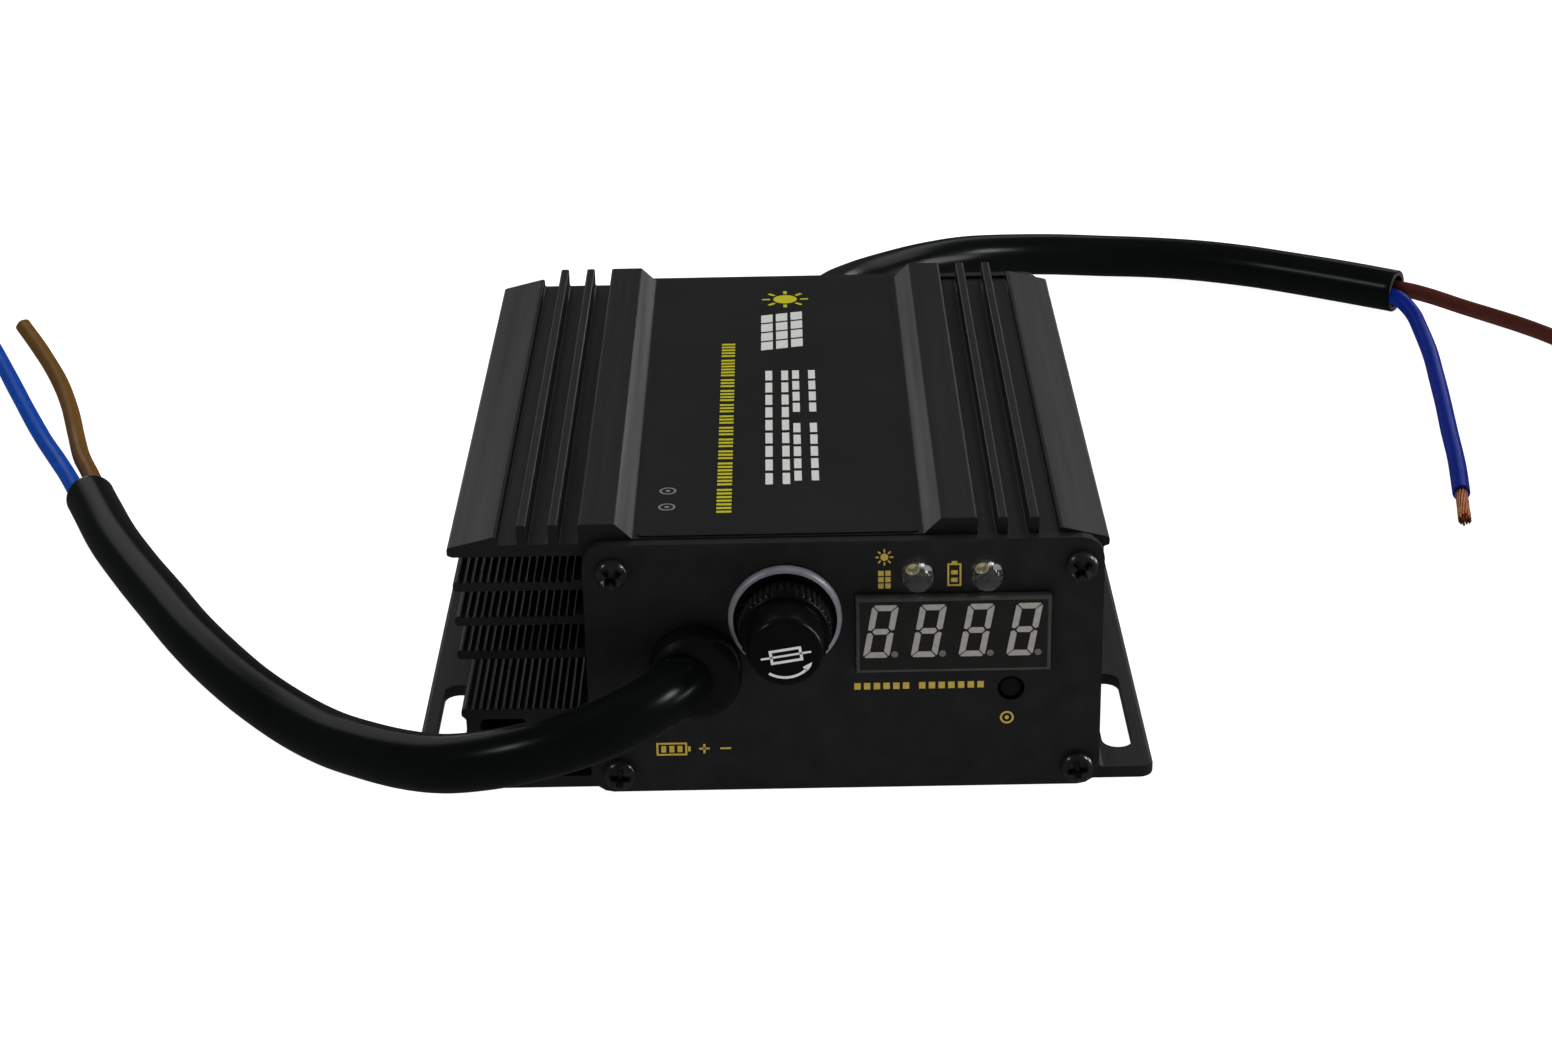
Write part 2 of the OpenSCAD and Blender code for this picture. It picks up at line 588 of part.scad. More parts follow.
module insulating_pads() color([0.6, 0.65, 0.7])
    for (y = concat(device_y, [diode_y])) difference() {
        translate([box_x0 + wall_t, y - 6, device_z - 7]) cube([pad_t, 12, 17]);
        translate([box_x0, y, device_z + 7]) rotate([0, 90, 0]) cylinder(h = 5, r = 1.6);
    }

module transistor_screws() color([0.7, 0.7, 0.7])
    for (y = concat(device_y, [diode_y]))
        translate([box_x0 + wall_t + pad_t + 1.3, y, device_z + 7]) rotate([0, 90, 0])
            pan_screw(2.7, 1.8, screw_r, 3.4);

// A flat chip with rows of legs on two sides
module chip(x, y, w, l, legs) translate([x, y, board_top]) {
    translate([-w / 2, -l / 2, 0.2]) cube([w, l, 1.5]);
    for (side = [-1, 1], i = [0:legs - 1])
        translate([side * (w / 2 + 0.6) - 0.6, (i - (legs - 1) / 2) * 1.27 - 0.2, 0]) cube([1.2, 0.4, 0.6]);
}

module controller_chip() color([0.1, 0.1, 0.1]) chip(-13, -27, 8, 13, 10);

module driver_chips() color([0.1, 0.1, 0.1]) for (y = [-8, 6]) chip(-15.5, y, 4, 5, 4);

module shunt_resistor() color([0.7, 0.6, 0.5]) translate([24, -37, board_top]) rotate([90, 0, 0])
    linear_extrude(height = 3) difference() {
        polygon(box_outline(-6, -1.2, 6, 6, 1.5));
        polygon(box_outline(-4.8, -2, 4.8, 4.8, 0.8));
    }

// ---- wires inside the case -----------------------------------------------------------------

// A wire from a sheath's inner end, spread sideways and bent down to the main board
module lead(x, dx, y, away)
    tube([[x + dx * 0.5, y, bush_z], [x + dx * 0.7, y + away * 5, 21],
        [x + dx, y + away * 11, 15], [x + dx, y + away * 12, board_top]], core_r, 8, [1, 0, 0]);

module battery_lead_positive() color([0.45, 0.28, 0.12]) lead(battery_route[0][0], 3.8, -50, 1);

module battery_lead_negative() color([0.1, 0.3, 0.7]) lead(battery_route[0][0], -3.8, -50, 1);

module solar_lead_positive() color([0.45, 0.22, 0.15]) lead(bush_rear_x, 3.8, 50, -1);

module solar_lead_negative() color([0.1, 0.3, 0.7]) lead(bush_rear_x, -3.8, 50, -1);

module fuse_leads() color([0.6, 0.1, 0.1]) {
    side_y = plate_front_y + 16.95;
    end_y = plate_front_y + fuse_tube_l + 5;
    tube([[fuse_x, side_y, 19], [fuse_x, side_y + 3, 18.5], [fuse_x, side_y + 6, 15],
        [fuse_x, side_y + 6.5, board_top]], 1.3, 8, [1, 0, 0]);
    tube([[fuse_x, end_y, fuse_z - 0.4], [fuse_x, end_y, 25], [fuse_x, end_y, 18],
        [fuse_x, end_y, board_top]], 1.3, 8, [1, 0, 0]);
}

// ---- cords ---------------------------------------------------------------------------------

module battery_sheath() color([0.06, 0.07, 0.07]) tube(battery_route, sheath_r, 12);

module battery_core_brown() color([0.5, 0.38, 0.18]) tube(battery_brown_route, core_r, 8);

module battery_core_blue() color([0.12, 0.35, 0.75]) tube(battery_blue_route, core_r, 8);

module battery_core_tip() color([0.72, 0.45, 0.3])
    rod(battery_blue_route[len(battery_blue_route) - 1], battery_tip_end, copper_r);

module solar_sheath() color([0.06, 0.07, 0.07]) tube(solar_route, sheath_r, 12);

module solar_core_brown() color([0.4, 0.24, 0.22]) tube(solar_brown_route, core_r, 8);

module solar_core_blue() color([0.12, 0.2, 0.6]) tube(solar_blue_route, core_r, 8);

module solar_core_tips() color([0.72, 0.45, 0.3]) {
    rod(solar_blue_route[len(solar_blue_route) - 1], solar_blue_tip_end, copper_r);
    rod(solar_brown_route[len(solar_brown_route) - 1], solar_brown_tip_end, copper_r);
}

// ---- assembly ------------------------------------------------------------------------------

case();
front_plate();
rear_plate();
top_label();
front_plate_screws();
rear_plate_screws();
fuse_holder();
fuse_holder_nut();
fuse_rear_contact();
fuse_side_terminal();
fuse_contact_spring();
fuse_cap();
fuse_grip();
fuse_glass();
fuse_end_caps();
fuse_link();
front_cord_bush();
rear_cord_bush();
led_solar();
led_battery();
led_leads();
display_module();
display_pins();
display_board();
display_ribbon();
set_switch();
set_button();
main_board();
board_standoffs();
board_screws();
insulating_sheet();
inductor_core();
inductor_winding();
input_capacitors();
output_capacitors();
power_transistors();
rectifier_diode();
insulating_pads();
transistor_screws();
controller_chip();
driver_chips();
shunt_resistor();
battery_lead_positive();
battery_lead_negative();
solar_lead_positive();
solar_lead_negative();
fuse_leads();
battery_sheath();
battery_core_brown();
battery_core_blue();
battery_core_tip();
solar_sheath();
solar_core_brown();
solar_core_blue();
solar_core_tips();
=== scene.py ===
import math
import random

import bpy
import bmesh
from mathutils import Matrix, Vector


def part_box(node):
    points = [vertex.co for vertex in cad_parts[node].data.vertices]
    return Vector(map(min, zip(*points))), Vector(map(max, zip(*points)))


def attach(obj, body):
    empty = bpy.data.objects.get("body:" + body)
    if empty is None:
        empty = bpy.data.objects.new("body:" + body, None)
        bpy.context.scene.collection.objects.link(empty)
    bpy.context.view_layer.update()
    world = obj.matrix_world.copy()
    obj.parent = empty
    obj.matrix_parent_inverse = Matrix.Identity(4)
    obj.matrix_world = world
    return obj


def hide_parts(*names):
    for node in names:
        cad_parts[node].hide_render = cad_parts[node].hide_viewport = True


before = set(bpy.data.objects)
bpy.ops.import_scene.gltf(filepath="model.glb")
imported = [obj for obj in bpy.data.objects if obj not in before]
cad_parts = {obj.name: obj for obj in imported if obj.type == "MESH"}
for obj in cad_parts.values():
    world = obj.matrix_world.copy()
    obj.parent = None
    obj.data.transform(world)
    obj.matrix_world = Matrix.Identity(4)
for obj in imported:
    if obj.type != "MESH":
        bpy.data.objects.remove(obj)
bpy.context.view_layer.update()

MM = 0.001
HOME = "housing"


def mm(x, y, z):
    return Vector((x, y, z)) * MM


def middle(node):
    lo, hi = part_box(node)
    return (lo + hi) / 2


# ---- camera ---------------------------------------------------------------------------------

CAMERA_PLACE = (0.0018, -0.4886, 0.2417)
CAMERA_ANGLES = (-0.269, 24.377, -1.15)     # degrees to the right, downwards, and of roll
SENSOR_MM = 36
LENS_MM = 70.54


def make_camera():
    cam = bpy.data.objects.new("camera", bpy.data.cameras.new("camera"))
    bpy.context.scene.collection.objects.link(cam)
    bpy.context.scene.camera = cam
    cam.data.sensor_width = SENSOR_MM
    cam.data.lens = LENS_MM
    cam.data.clip_start = 0.01
    cam.data.clip_end = 20
    yaw, pitch, roll = (math.radians(a) for a in CAMERA_ANGLES)
    ahead = Vector((math.sin(yaw) * math.cos(pitch), math.cos(yaw) * math.cos(pitch),
                    -math.sin(pitch)))
    right = Vector((math.cos(yaw), -math.sin(yaw), 0))
    up = right.cross(ahead)
    right, up = (math.cos(roll) * right + math.sin(roll) * up,
                 math.cos(roll) * up - math.sin(roll) * right)
    turn = Matrix((right, up, -ahead)).transposed().to_4x4()
    cam.matrix_world = Matrix.Translation(CAMERA_PLACE) @ turn


make_camera()

# ---- routes of the cords, as in part.scad, in millimetres -----------------------------------

BATTERY = [(-13, -50, 22.5), (-13.3, -57, 22.5), (-14.7, -63.5, 22.4), (-17.8, -69.3, 22),
           (-22, -73.6, 21.2), (-27, -76.3, 20), (-32.5, -77.5, 18.5), (-39, -77.2, 16.5),
           (-46, -75.3, 14.2), (-53, -71.7, 11.8), (-60, -66, 9.6), (-67, -59, 7.6),
           (-74, -51.3, 5.8), (-81.5, -42.5, 4.9), (-89.5, -32.5, 4.8), (-97, -21.5, 4.8),
           (-104, -10, 4.8), (-111, 3, 4.8), (-118, 16, 4.8), (-125, 30, 4.8),
           (-130.5, 43, 4.8), (-133.4, 50, 4.8)]
BATTERY_BROWN = [(-130.9, 48.8, 4.8), (-136, 62.5, 4.3), (-140.2, 74, 3.2), (-144.3, 88, 2.1),
                 (-149, 104, 1.8), (-154.5, 119.5, 1.8), (-162, 137, 1.8), (-170, 154, 1.8)]
BATTERY_BLUE = [(-134.3, 47.4, 4.8), (-140, 61.5, 4), (-144.6, 72.5, 3), (-150.5, 86, 2),
                (-156.5, 100, 1.8), (-163, 115.5, 1.8), (-169.5, 131, 1.8), (-176, 146, 1.8)]
BATTERY_TIP = (-180, 155.5, 1.8)
SOLAR = [(10, 50, 22.5), (10, 58, 22.5), (10, 70, 22.3), (10, 84, 21.6), (10, 98, 20.3),
         (10.3, 112, 18.3), (12, 126, 16), (17, 138.5, 13.7), (24.5, 150, 11.8), (33, 160, 10.3),
         (42.5, 167.5, 9), (53, 172.5, 7.6), (64, 175.5, 6.4), (75, 177, 5.3), (86, 176.5, 4.9),
         (97, 174, 4.8), (108, 169.5, 4.8), (118, 164, 4.8), (128, 158, 4.8), (138.5, 151.2, 4.8)]
SOLAR_BROWN = [(136.9, 154.3, 4.8), (141.5, 151.8, 4.7), (146.5, 149.8, 3.8), (152.2, 146.8, 2.6),
               (158, 142.5, 1.9), (163.3, 136.5, 1.8), (168.5, 129, 1.8), (174, 119, 1.8),
               (179, 108, 1.8), (183, 97, 1.8)]
SOLAR_BROWN_TIP = (186.5, 87, 1.8)
SOLAR_BLUE = [(134.9, 151, 4.6), (138.4, 147.5, 4.3), (140.2, 141, 3.4), (140.6, 134, 2.4),
              (140.2, 121, 1.8), (138.8, 107, 1.8), (137.3, 93, 1.8), (135.5, 78, 1.8),
              (133.7, 62, 1.8), (131.5, 47, 1.8)]
SOLAR_BLUE_TIP = (129.5, 34, 1.8)
SHEATH_R = 4.7
CORE_R = 1.75

# ---- mesh helpers ---------------------------------------------------------------------------

# The six faces of a box whose corners are four in a ring, and then the same four further on.
BOX_FACES = [(3, 2, 1, 0), (4, 5, 6, 7)] + [(i, (i + 1) % 4, (i + 1) % 4 + 4, i + 4)
                                            for i in range(4)]


def add_object(name, mesh, body=HOME, replaced=(), smooth=30):
    """Links a mesh as a piece that rides on a body. Edges of more than smooth degrees stay sharp,
    and smooth=0 leaves every face flat."""
    obj = bpy.data.objects.new(name, mesh)
    bpy.context.scene.collection.objects.link(obj)
    if smooth:
        mesh.polygons.foreach_set("use_smooth", [True] * len(mesh.polygons))
        mesh.set_sharp_from_angle(angle=math.radians(smooth))
    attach(obj, body)
    if replaced:
        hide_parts(*replaced)
    return obj


def mesh_of(name, verts, faces):
    mesh = bpy.data.meshes.new(name)
    mesh.from_pydata([tuple(v) for v in verts], [], faces)
    mesh.validate()
    bm = bmesh.new()
    bm.from_mesh(mesh)
    bmesh.ops.recalc_face_normals(bm, faces=bm.faces)
    bm.to_mesh(mesh)
    bm.free()
    return mesh


def catmull(points, step=1.5):
    """A smooth curve through the points, sampled about every step millimetres."""
    p = [Vector(q) for q in points]
    p = [2 * p[0] - p[1]] + p + [2 * p[-1] - p[-2]]
    out = []
    for i in range(1, len(p) - 2):
        a, b, c, d = p[i - 1:i + 3]
        n = max(2, round((c - b).length / step))
        for k in range(n):
            t = k / n
            out.append(0.5 * (2 * b + (c - a) * t + (2 * a - 5 * b + 4 * c - d) * t * t
                              + (3 * b - a - 3 * c + d) * t ** 3))
    out.append(p[-2])
    return out


def frames(path):
    """At each point of a path: its direction and two directions across it that don't twist."""
    out = []
    side = None
    for i, q in enumerate(path):
        t = (path[min(i + 1, len(path) - 1)] - path[max(i - 1, 0)]).normalized()
        if side is None:
            side = t.cross(Vector((0, 0, 1)) if abs(t.z) < 0.9 else Vector((1, 0, 0)))
        side = (side - t * side.dot(t)).normalized()
        out.append((t, side, t.cross(side)))
    return out


def swept(path, rings, sides, slant=(0, 0)):
    """Vertices and faces of a closed tube. rings holds (index in path, distance further on,
    radius). The far end is cut square, or slants by so much a millimetre in both directions across
    the path."""
    fr = frames(path)
    verts, faces = [], []
    for i, along, r in rings:
        t, a, b = fr[i]
        lean = slant if i == len(path) - 1 else (0, 0)
        for k in range(sides):
            w = 2 * math.pi * k / sides
            x, y = r * math.cos(w), r * math.sin(w)
            verts.append((path[i] + t * (along + lean[0] * x + lean[1] * y) + a * x + b * y) * MM)
    for i in range(len(rings) - 1):
        for k in range(sides):
            n = (k + 1) % sides
            faces.append((i * sides + k, i * sides + n, (i + 1) * sides + n, (i + 1) * sides + k))
    faces.append(tuple(range(sides))[::-1])
    last = (len(rings) - 1) * sides
    faces.append(tuple(last + k for k in range(sides)))
    return verts, faces


def length_of(path):
    return sum((b - a).length for a, b in zip(path, path[1:])) * MM


def lathe_mesh(name, profile, place, sides=96, wobble=None, loop=False):
    """A turned solid. profile holds (radius, distance out of the plate) and place puts a point
    (x, z, out) of the turned shape in the frame. wobble changes a radius by its place and angle.
    The ends are closed with discs, or joined to each other where the profile is a loop."""
    verts, faces = [], []
    for j, (r, out) in enumerate(profile):
        for k in range(sides):
            w = 2 * math.pi * k / sides
            q = r + (wobble(j, w) if wobble else 0)
            verts.append(place(q * math.cos(w), q * math.sin(w), out))
    n = len(profile)
    for j in range(n if loop else n - 1):
        i = (j + 1) % n
        for k in range(sides):
            m = (k + 1) % sides
            faces.append((j * sides + k, j * sides + m, i * sides + m, i * sides + k))
    if not loop:
        faces.append(tuple(range(sides))[::-1])
        faces.append(tuple((n - 1) * sides + k for k in range(sides)))
    return mesh_of(name, verts, faces)


def arc(cx, cy, r, a0, a1, steps):
    return [(cx + r * math.cos(math.radians(a0 + (a1 - a0) * i / steps)),
             cy + r * math.sin(math.radians(a0 + (a1 - a0) * i / steps))) for i in range(steps + 1)]


def front_place(centre=Vector(), face_y=0, turn=0):
    """Puts (x, z, out), in millimetres, on a face that looks to the front, turned by degrees."""
    c, s = math.cos(math.radians(turn)), math.sin(math.radians(turn))
    return lambda x, z, out: Vector((centre.x + (x * c - z * s) * MM, face_y - out * MM,
                                     centre.z + (x * s + z * c) * MM))


def rear_place(centre, face_y, turn=0):
    """Puts (x, z, out), in millimetres, on a face that looks to the rear."""
    front = front_place(Vector(), 0, turn)
    return lambda x, z, out: Vector((centre.x, face_y, centre.z)) + Vector(
        (-front(x, z, out).x, -front(x, z, out).y, front(x, z, out).z))


def cut_from(mesh, cutters):
    """The mesh with the cutter meshes taken away from it."""
    scene = bpy.context.scene.collection
    obj = bpy.data.objects.new("cut_body", mesh)
    scene.objects.link(obj)
    tools = []
    for cutter in cutters:
        tool = bpy.data.objects.new("cutter", cutter)
        scene.objects.link(tool)
        tools.append(tool)
        mod = obj.modifiers.new("cut", "BOOLEAN")
        mod.operation, mod.solver, mod.object = "DIFFERENCE", "EXACT", tool
    graph = bpy.context.evaluated_depsgraph_get()
    result = bpy.data.meshes.new_from_object(obj.evaluated_get(graph))
    for extra in [obj] + tools:
        bpy.data.objects.remove(extra)
    return result


def joined(name, meshes):
    """One mesh of several."""
    bm = bmesh.new()
    for mesh in meshes:
        bm.from_mesh(mesh)
    out = bpy.data.meshes.new(name)
    bm.to_mesh(out)
    bm.free()
    return out


class Ink:
    """Print on a flat face: slabs and strokes of a thin layer that share one mesh."""

    def __init__(self, place, high=0.03):
        """The print stands high millimetres proud of the face, and its back is sunk in the face."""
        self.place, self.high, self.low = place, high, -0.02
        self.verts, self.faces = [], []

    def solid(self, outline, faces):
        n, base = len(outline), len(self.verts)
        for level in (self.low, self.high):
            self.verts += [self.place(x, z, level) for x, z in outline]
        for face in faces:
            self.faces.append(tuple(base + i for i in face)[::-1])
            self.faces.append(tuple(base + n + i for i in face))

    def slab(self, points):
        n, base = len(points), len(self.verts)
        self.solid(points, [tuple(range(n))])
        for i in range(n):
            k = (i + 1) % n
            self.faces.append((base + i, base + k, base + n + k, base + n + i))

    def bar(self, x, z, w, h, turn=0, lean=0):
        c, s = math.cos(math.radians(turn)), math.sin(math.radians(turn))
        corners = [(-w / 2, -h / 2), (w / 2, -h / 2), (w / 2, h / 2), (-w / 2, h / 2)]
        self.slab([(x + (a + b * lean) * c - b * s, z + (a + b * lean) * s + b * c)
                   for a, b in corners])

    def disc(self, x, z, r, sides=28):
        self.slab(arc(x, z, r, 0, 360, sides)[:-1])

    def stroke(self, points, width, closed=False):
        """A line of even width with mitred joints."""
        pts = [Vector(p) for p in points]
        n, base = len(pts), len(self.verts)
        left, right = [], []
        for i, p in enumerate(pts):
            a = (p - pts[i - 1]) if (closed or i) else (pts[1] - p)
            b = (pts[(i + 1) % n] - p) if (closed or i < n - 1) else a
            na = Vector((-a.y, a.x)).normalized()
            nb = Vector((-b.y, b.x)).normalized()
            m = (na + nb).normalized()
            m *= width / 2 / max(0.3, m.dot(na))
            left.append(tuple(p + m))
            right.append(tuple(p - m))
        spans = n if closed else n - 1
        self.solid(left + right, [(n + i, n + (i + 1) % n, (i + 1) % n, i) for i in range(spans)])
        for i in range(spans):
            k = (i + 1) % n
            for u, v in ((k, i), (n + i, n + k)):
                self.faces.append((base + u, base + v, base + 2 * n + v, base + 2 * n + u))
        if not closed:
            for u, v in ((0, n), (2 * n - 1, n - 1)):
                self.faces.append((base + u, base + v, base + 2 * n + v, base + 2 * n + u))

    def ring(self, x, z, r, width, sides=32):
        self.stroke(arc(x, z, r, 0, 360, sides)[:-1], width, closed=True)

    def piece(self, name, material, slot, body=HOME):
        mesh = mesh_of(name, self.verts, self.faces)
        clad(add_object(name, mesh, body=body, smooth=0), material)


# ---- materials ------------------------------------------------------------------------------

def link_noise(nt, coord, grain, stretch, detail=4):
    """A noise with so many grains a metre, stretched along an axis where its stretch is small."""
    mapping = nt.nodes.new("ShaderNodeMapping")
    mapping.inputs["Scale"].default_value = stretch
    nt.links.new(coord, mapping.inputs["Vector"])
    noise = nt.nodes.new("ShaderNodeTexNoise")
    noise.inputs["Scale"].default_value = grain
    noise.inputs["Detail"].default_value = detail
    noise.inputs["Roughness"].default_value = 0.55
    nt.links.new(mapping.outputs["Vector"], noise.inputs["Vector"])
    return noise.outputs["Fac"]


def remap(nt, value, low, high, start=0.3, end=0.7):
    """Spreads the values from start to end over low to high."""
    node = nt.nodes.new("ShaderNodeMapRange")
    node.inputs["From Min"].default_value = start
    node.inputs["From Max"].default_value = end
    node.inputs["To Min"].default_value = low
    node.inputs["To Max"].default_value = high
    nt.links.new(value, node.inputs["Value"])
    return node.outputs["Result"]


def mix_colour(nt, fac, a, b):
    node = nt.nodes.new("ShaderNodeMix")
    node.data_type = "RGBA"
    for socket, value in ((node.inputs["A"], a), (node.inputs["B"], b)):
        if isinstance(value, (tuple, list)):
            socket.default_value = (*value[:3], 1)
        else:
            nt.links.new(value, socket)
    nt.links.new(fac, node.inputs["Factor"])
    return node.outputs["Result"]


def surface(name, colour, rough=0.5, metal=0.0, tone=0.2, grain=300, stretch=(1, 1, 1), vary=0.06,
            bump=0.1, bump_grain=1500, bump_stretch=(1, 1, 1), depth=0.00005, **sockets):
    """A procedural material. Colour, roughness and bump each follow a noise of their own: the
    colour by a fraction tone each way, the roughness by vary, and the bump to a depth in metres."""
    m = bpy.data.materials.new(name)
    m.use_nodes = True
    nt = m.node_tree
    shader = nt.nodes["Principled BSDF"]
    coord = nt.nodes.new("ShaderNodeTexCoord").outputs["Object"]
    dark = tuple(c * (1 - tone) for c in colour)
    light = tuple(min(1, c * (1 + tone)) for c in colour)
    fac = remap(nt, link_noise(nt, coord, grain, stretch), 0, 1)
    nt.links.new(mix_colour(nt, fac, dark, light), shader.inputs["Base Color"])
    fac = link_noise(nt, coord, grain * 0.6, stretch, 3)
    nt.links.new(remap(nt, fac, max(0.02, rough - vary), rough + vary), shader.inputs["Roughness"])
    node = nt.nodes.new("ShaderNodeBump")
    node.inputs["Strength"].default_value = bump
    node.inputs["Distance"].default_value = depth
    nt.links.new(link_noise(nt, coord, bump_grain, bump_stretch), node.inputs["Height"])
    nt.links.new(node.outputs["Normal"], shader.inputs["Normal"])
    shader.inputs["Metallic"].default_value = metal
    for key, value in sockets.items():
        shader.inputs[key.replace("_", " ")].default_value = value
    return m


def clad(obj, material):
    obj.data.materials.clear()
    obj.data.materials.append(material)
    return obj


def extrusion():
    """Satin anodised extrusion: streaks along Y, and painted shade on the sawn ends, which blend to
    an even, darker colour.
    """
    m = surface("black_anodised", (0.011, 0.0108, 0.0102), 0.42, tone=0.3, grain=700,
                stretch=(1, 0.02, 1), vary=0.07, bump=0.3, bump_grain=3500,
                bump_stretch=(1, 0.012, 1), depth=0.00003, Specular_IOR_Level=0.5)
    nt = m.node_tree
    shader = nt.nodes["Principled BSDF"]
    # Painted shade: faces that look along Y, the sawn ends, blend to a darker colour.
    parts = nt.nodes.new("ShaderNodeSeparateXYZ")
    nt.links.new(nt.nodes.new("ShaderNodeNewGeometry").outputs["Normal"], parts.inputs["Vector"])
    endways = nt.nodes.new("ShaderNodeMath")
    endways.operation = "ABSOLUTE"
    nt.links.new(parts.outputs["Y"], endways.inputs[0])
    end = remap(nt, endways.outputs[0], 0, 1, 0.6, 0.9)
    side = shader.inputs["Base Color"].links[0].from_socket
    nt.links.new(mix_colour(nt, end, side, (0.009, 0.009, 0.0088)), shader.inputs["Base Color"])
    return m


EXTRUSION = extrusion()
PLATE = surface("black_plate", (0.011, 0.0114, 0.0122), 0.5, tone=0.2, grain=260, vary=0.05,
                bump=0.25, bump_grain=5200, depth=0.00003, Specular_IOR_Level=0.4)
LABEL = surface("label_film", (0.0075, 0.0083, 0.008), 0.4, tone=0.12, grain=60, vary=0.05,
                bump=0.12, bump_grain=260, depth=0.00006, Specular_IOR_Level=0.4)
SCREW = surface("black_plated_screw", (0.07, 0.07, 0.07), 0.22, metal=0.85, tone=0.3, grain=900,
                vary=0.07, bump=0.15, bump_grain=2600, depth=0.00003, Specular_IOR_Level=0.5)
MOULDED = surface("moulded_black", (0.0026, 0.0027, 0.0027), 0.28, tone=0.15, grain=400, vary=0.05,
                  bump=0.1, bump_grain=2200, depth=0.00002, Specular_IOR_Level=0.28)
# A painted highlight: a light grey, partly metallic colour on the rounded rim of the fuse holder's
# flange.
RIM_PAINTED_HIGHLIGHT = surface("rim_painted_highlight", (0.3, 0.305, 0.34), 0.4, metal=0.35, tone=0.12, grain=400, vary=0.04,
              bump=0.1, bump_grain=2200, depth=0.00002)
BUSH = surface("bush_nylon", (0.0035, 0.004, 0.004), 0.24, tone=0.15, grain=300, vary=0.06,
               bump=0.15, bump_grain=1500, depth=0.00003, Specular_IOR_Level=0.4)
MATTE_BLACK = surface("matt_moulded_black", (0.0035, 0.0035, 0.0035), 0.45, tone=0.2, grain=500,
                      bump=0.2, Specular_IOR_Level=0.4)
PVC = surface("pvc_sheath", (0.0032, 0.0042, 0.004), 0.23, tone=0.12, grain=180, vary=0.005,
              bump=0.02, bump_grain=450, depth=0.00002, Specular_IOR_Level=0.15)
PVC_CUT = surface("pvc_cut_end", (0.045, 0.04, 0.042), 0.6, tone=0.3, grain=1200, bump=0.5,
                  bump_grain=3500, Specular_IOR_Level=0.2)
INK_BODY = dict(rough=0.5, grain=2500, bump=0.2, bump_grain=6000, Specular_IOR_Level=0.2)
PRINT_GOLD = surface("print_gold", (0.52, 0.37, 0.055), tone=0.15, **INK_BODY)
PRINT_WHITE = surface("print_white", (0.7, 0.71, 0.68), tone=0.06, **INK_BODY)
PRINT_YELLOW = surface("print_yellow", (0.55, 0.52, 0.02), tone=0.12, **INK_BODY)
PRINT_GREY = surface("print_grey", (0.2, 0.21, 0.19), tone=0.12, **INK_BODY)
FACE = surface("display_face", (0.0122, 0.0125, 0.011), 0.3, tone=0.12, grain=300, vary=0.04,
               bump=0.1, bump_grain=1800, Specular_IOR_Level=0.4)
UNLIT = dict(rough=0.45, tone=0.12, grain=1200, vary=0.05, bump=0.15, bump_grain=4000,
             Specular_IOR_Level=0.2)
SEGMENT = surface("display_segment", (0.34, 0.325, 0.3), **UNLIT)
POINT = surface("display_point", (0.13, 0.127, 0.12), **UNLIT)
CUP = surface("led_cup", (0.42, 0.38, 0.2), 0.3, metal=0.4, tone=0.15, grain=2500, bump=0.2)
LEAD_FRAME = surface("led_lead_frame", (0.3, 0.3, 0.3), 0.4, metal=0.8, tone=0.15, grain=2500,
                     bump=0.2)
CLEAR = surface("clear_epoxy", (0.9, 0.91, 0.89), 0.04, tone=0.03, grain=300, vary=0.02, bump=0.03,
                bump_grain=900, Transmission_Weight=0.96, IOR=1.5)
SHELL = surface("display_shell", (0.045, 0.045, 0.043), 0.4, tone=0.15, grain=600, bump=0.2,
                bump_grain=2500)
GLASS = surface("fuse_glass", (0.95, 0.98, 0.97), 0.05, tone=0.02, grain=300, vary=0.02, bump=0.03,
                Transmission_Weight=1.0, IOR=1.46)
TINNED = surface("tinned_metal", (0.6, 0.6, 0.6), 0.3, metal=1, tone=0.12, grain=900, bump=0.2)
BRASS = surface("brass", (0.66, 0.47, 0.17), 0.28, metal=1, tone=0.15, grain=700, bump=0.2)
COPPER = surface("bare_copper", (0.95, 0.33, 0.14), 0.34, metal=1, tone=0.25, grain=900, vary=0.1,
                 bump=0.2, bump_grain=4000)
GREEN = surface("board_green", (0.012, 0.11, 0.045), 0.4, tone=0.2, grain=350, bump=0.2,
                bump_grain=900)
RIBBON = surface("ribbon_grey", (0.35, 0.35, 0.36), 0.5, tone=0.25, grain=800,
                 stretch=(1, 0.02, 0.02))
FILM = surface("clear_film", (0.6, 0.6, 0.55), 0.5, tone=0.1, grain=200)
FERRITE = surface("ferrite", (0.06, 0.2, 0.11), 0.35, tone=0.2, grain=700, bump=0.3)
ENAMEL = surface("enamelled_wire", (0.5, 0.19, 0.06), 0.25, metal=0.8, tone=0.2, grain=900)
SLEEVE = surface("capacitor_sleeve", (0.012, 0.016, 0.06), 0.3, tone=0.2, grain=200, bump=0.1)
CHIP = surface("chip_black", (0.014, 0.014, 0.014), 0.6, tone=0.25, grain=1500, bump=0.35)
PAD = surface("thermal_pad", (0.22, 0.27, 0.32), 0.7, tone=0.2, grain=1200, bump=0.35)
RED = surface("wire_red", (0.38, 0.012, 0.012), 0.4, tone=0.15, grain=300)
CORE_BODY = dict(tone=0.14, grain=250, bump=0.15, bump_grain=900, depth=0.00003,
                 Specular_IOR_Level=0.07)
CORE_TAN = surface("core_tan", (0.15, 0.068, 0.01), 0.36, **CORE_BODY)
CORE_SKY = surface("core_bright_blue", (0.001, 0.062, 0.41), 0.3, **CORE_BODY)
CORE_RED_BROWN = surface("core_red_brown", (0.066, 0.016, 0.012), 0.38, **CORE_BODY)
CORE_DEEP = surface("core_deep_blue", (0.003, 0.016, 0.2), 0.3, **CORE_BODY)

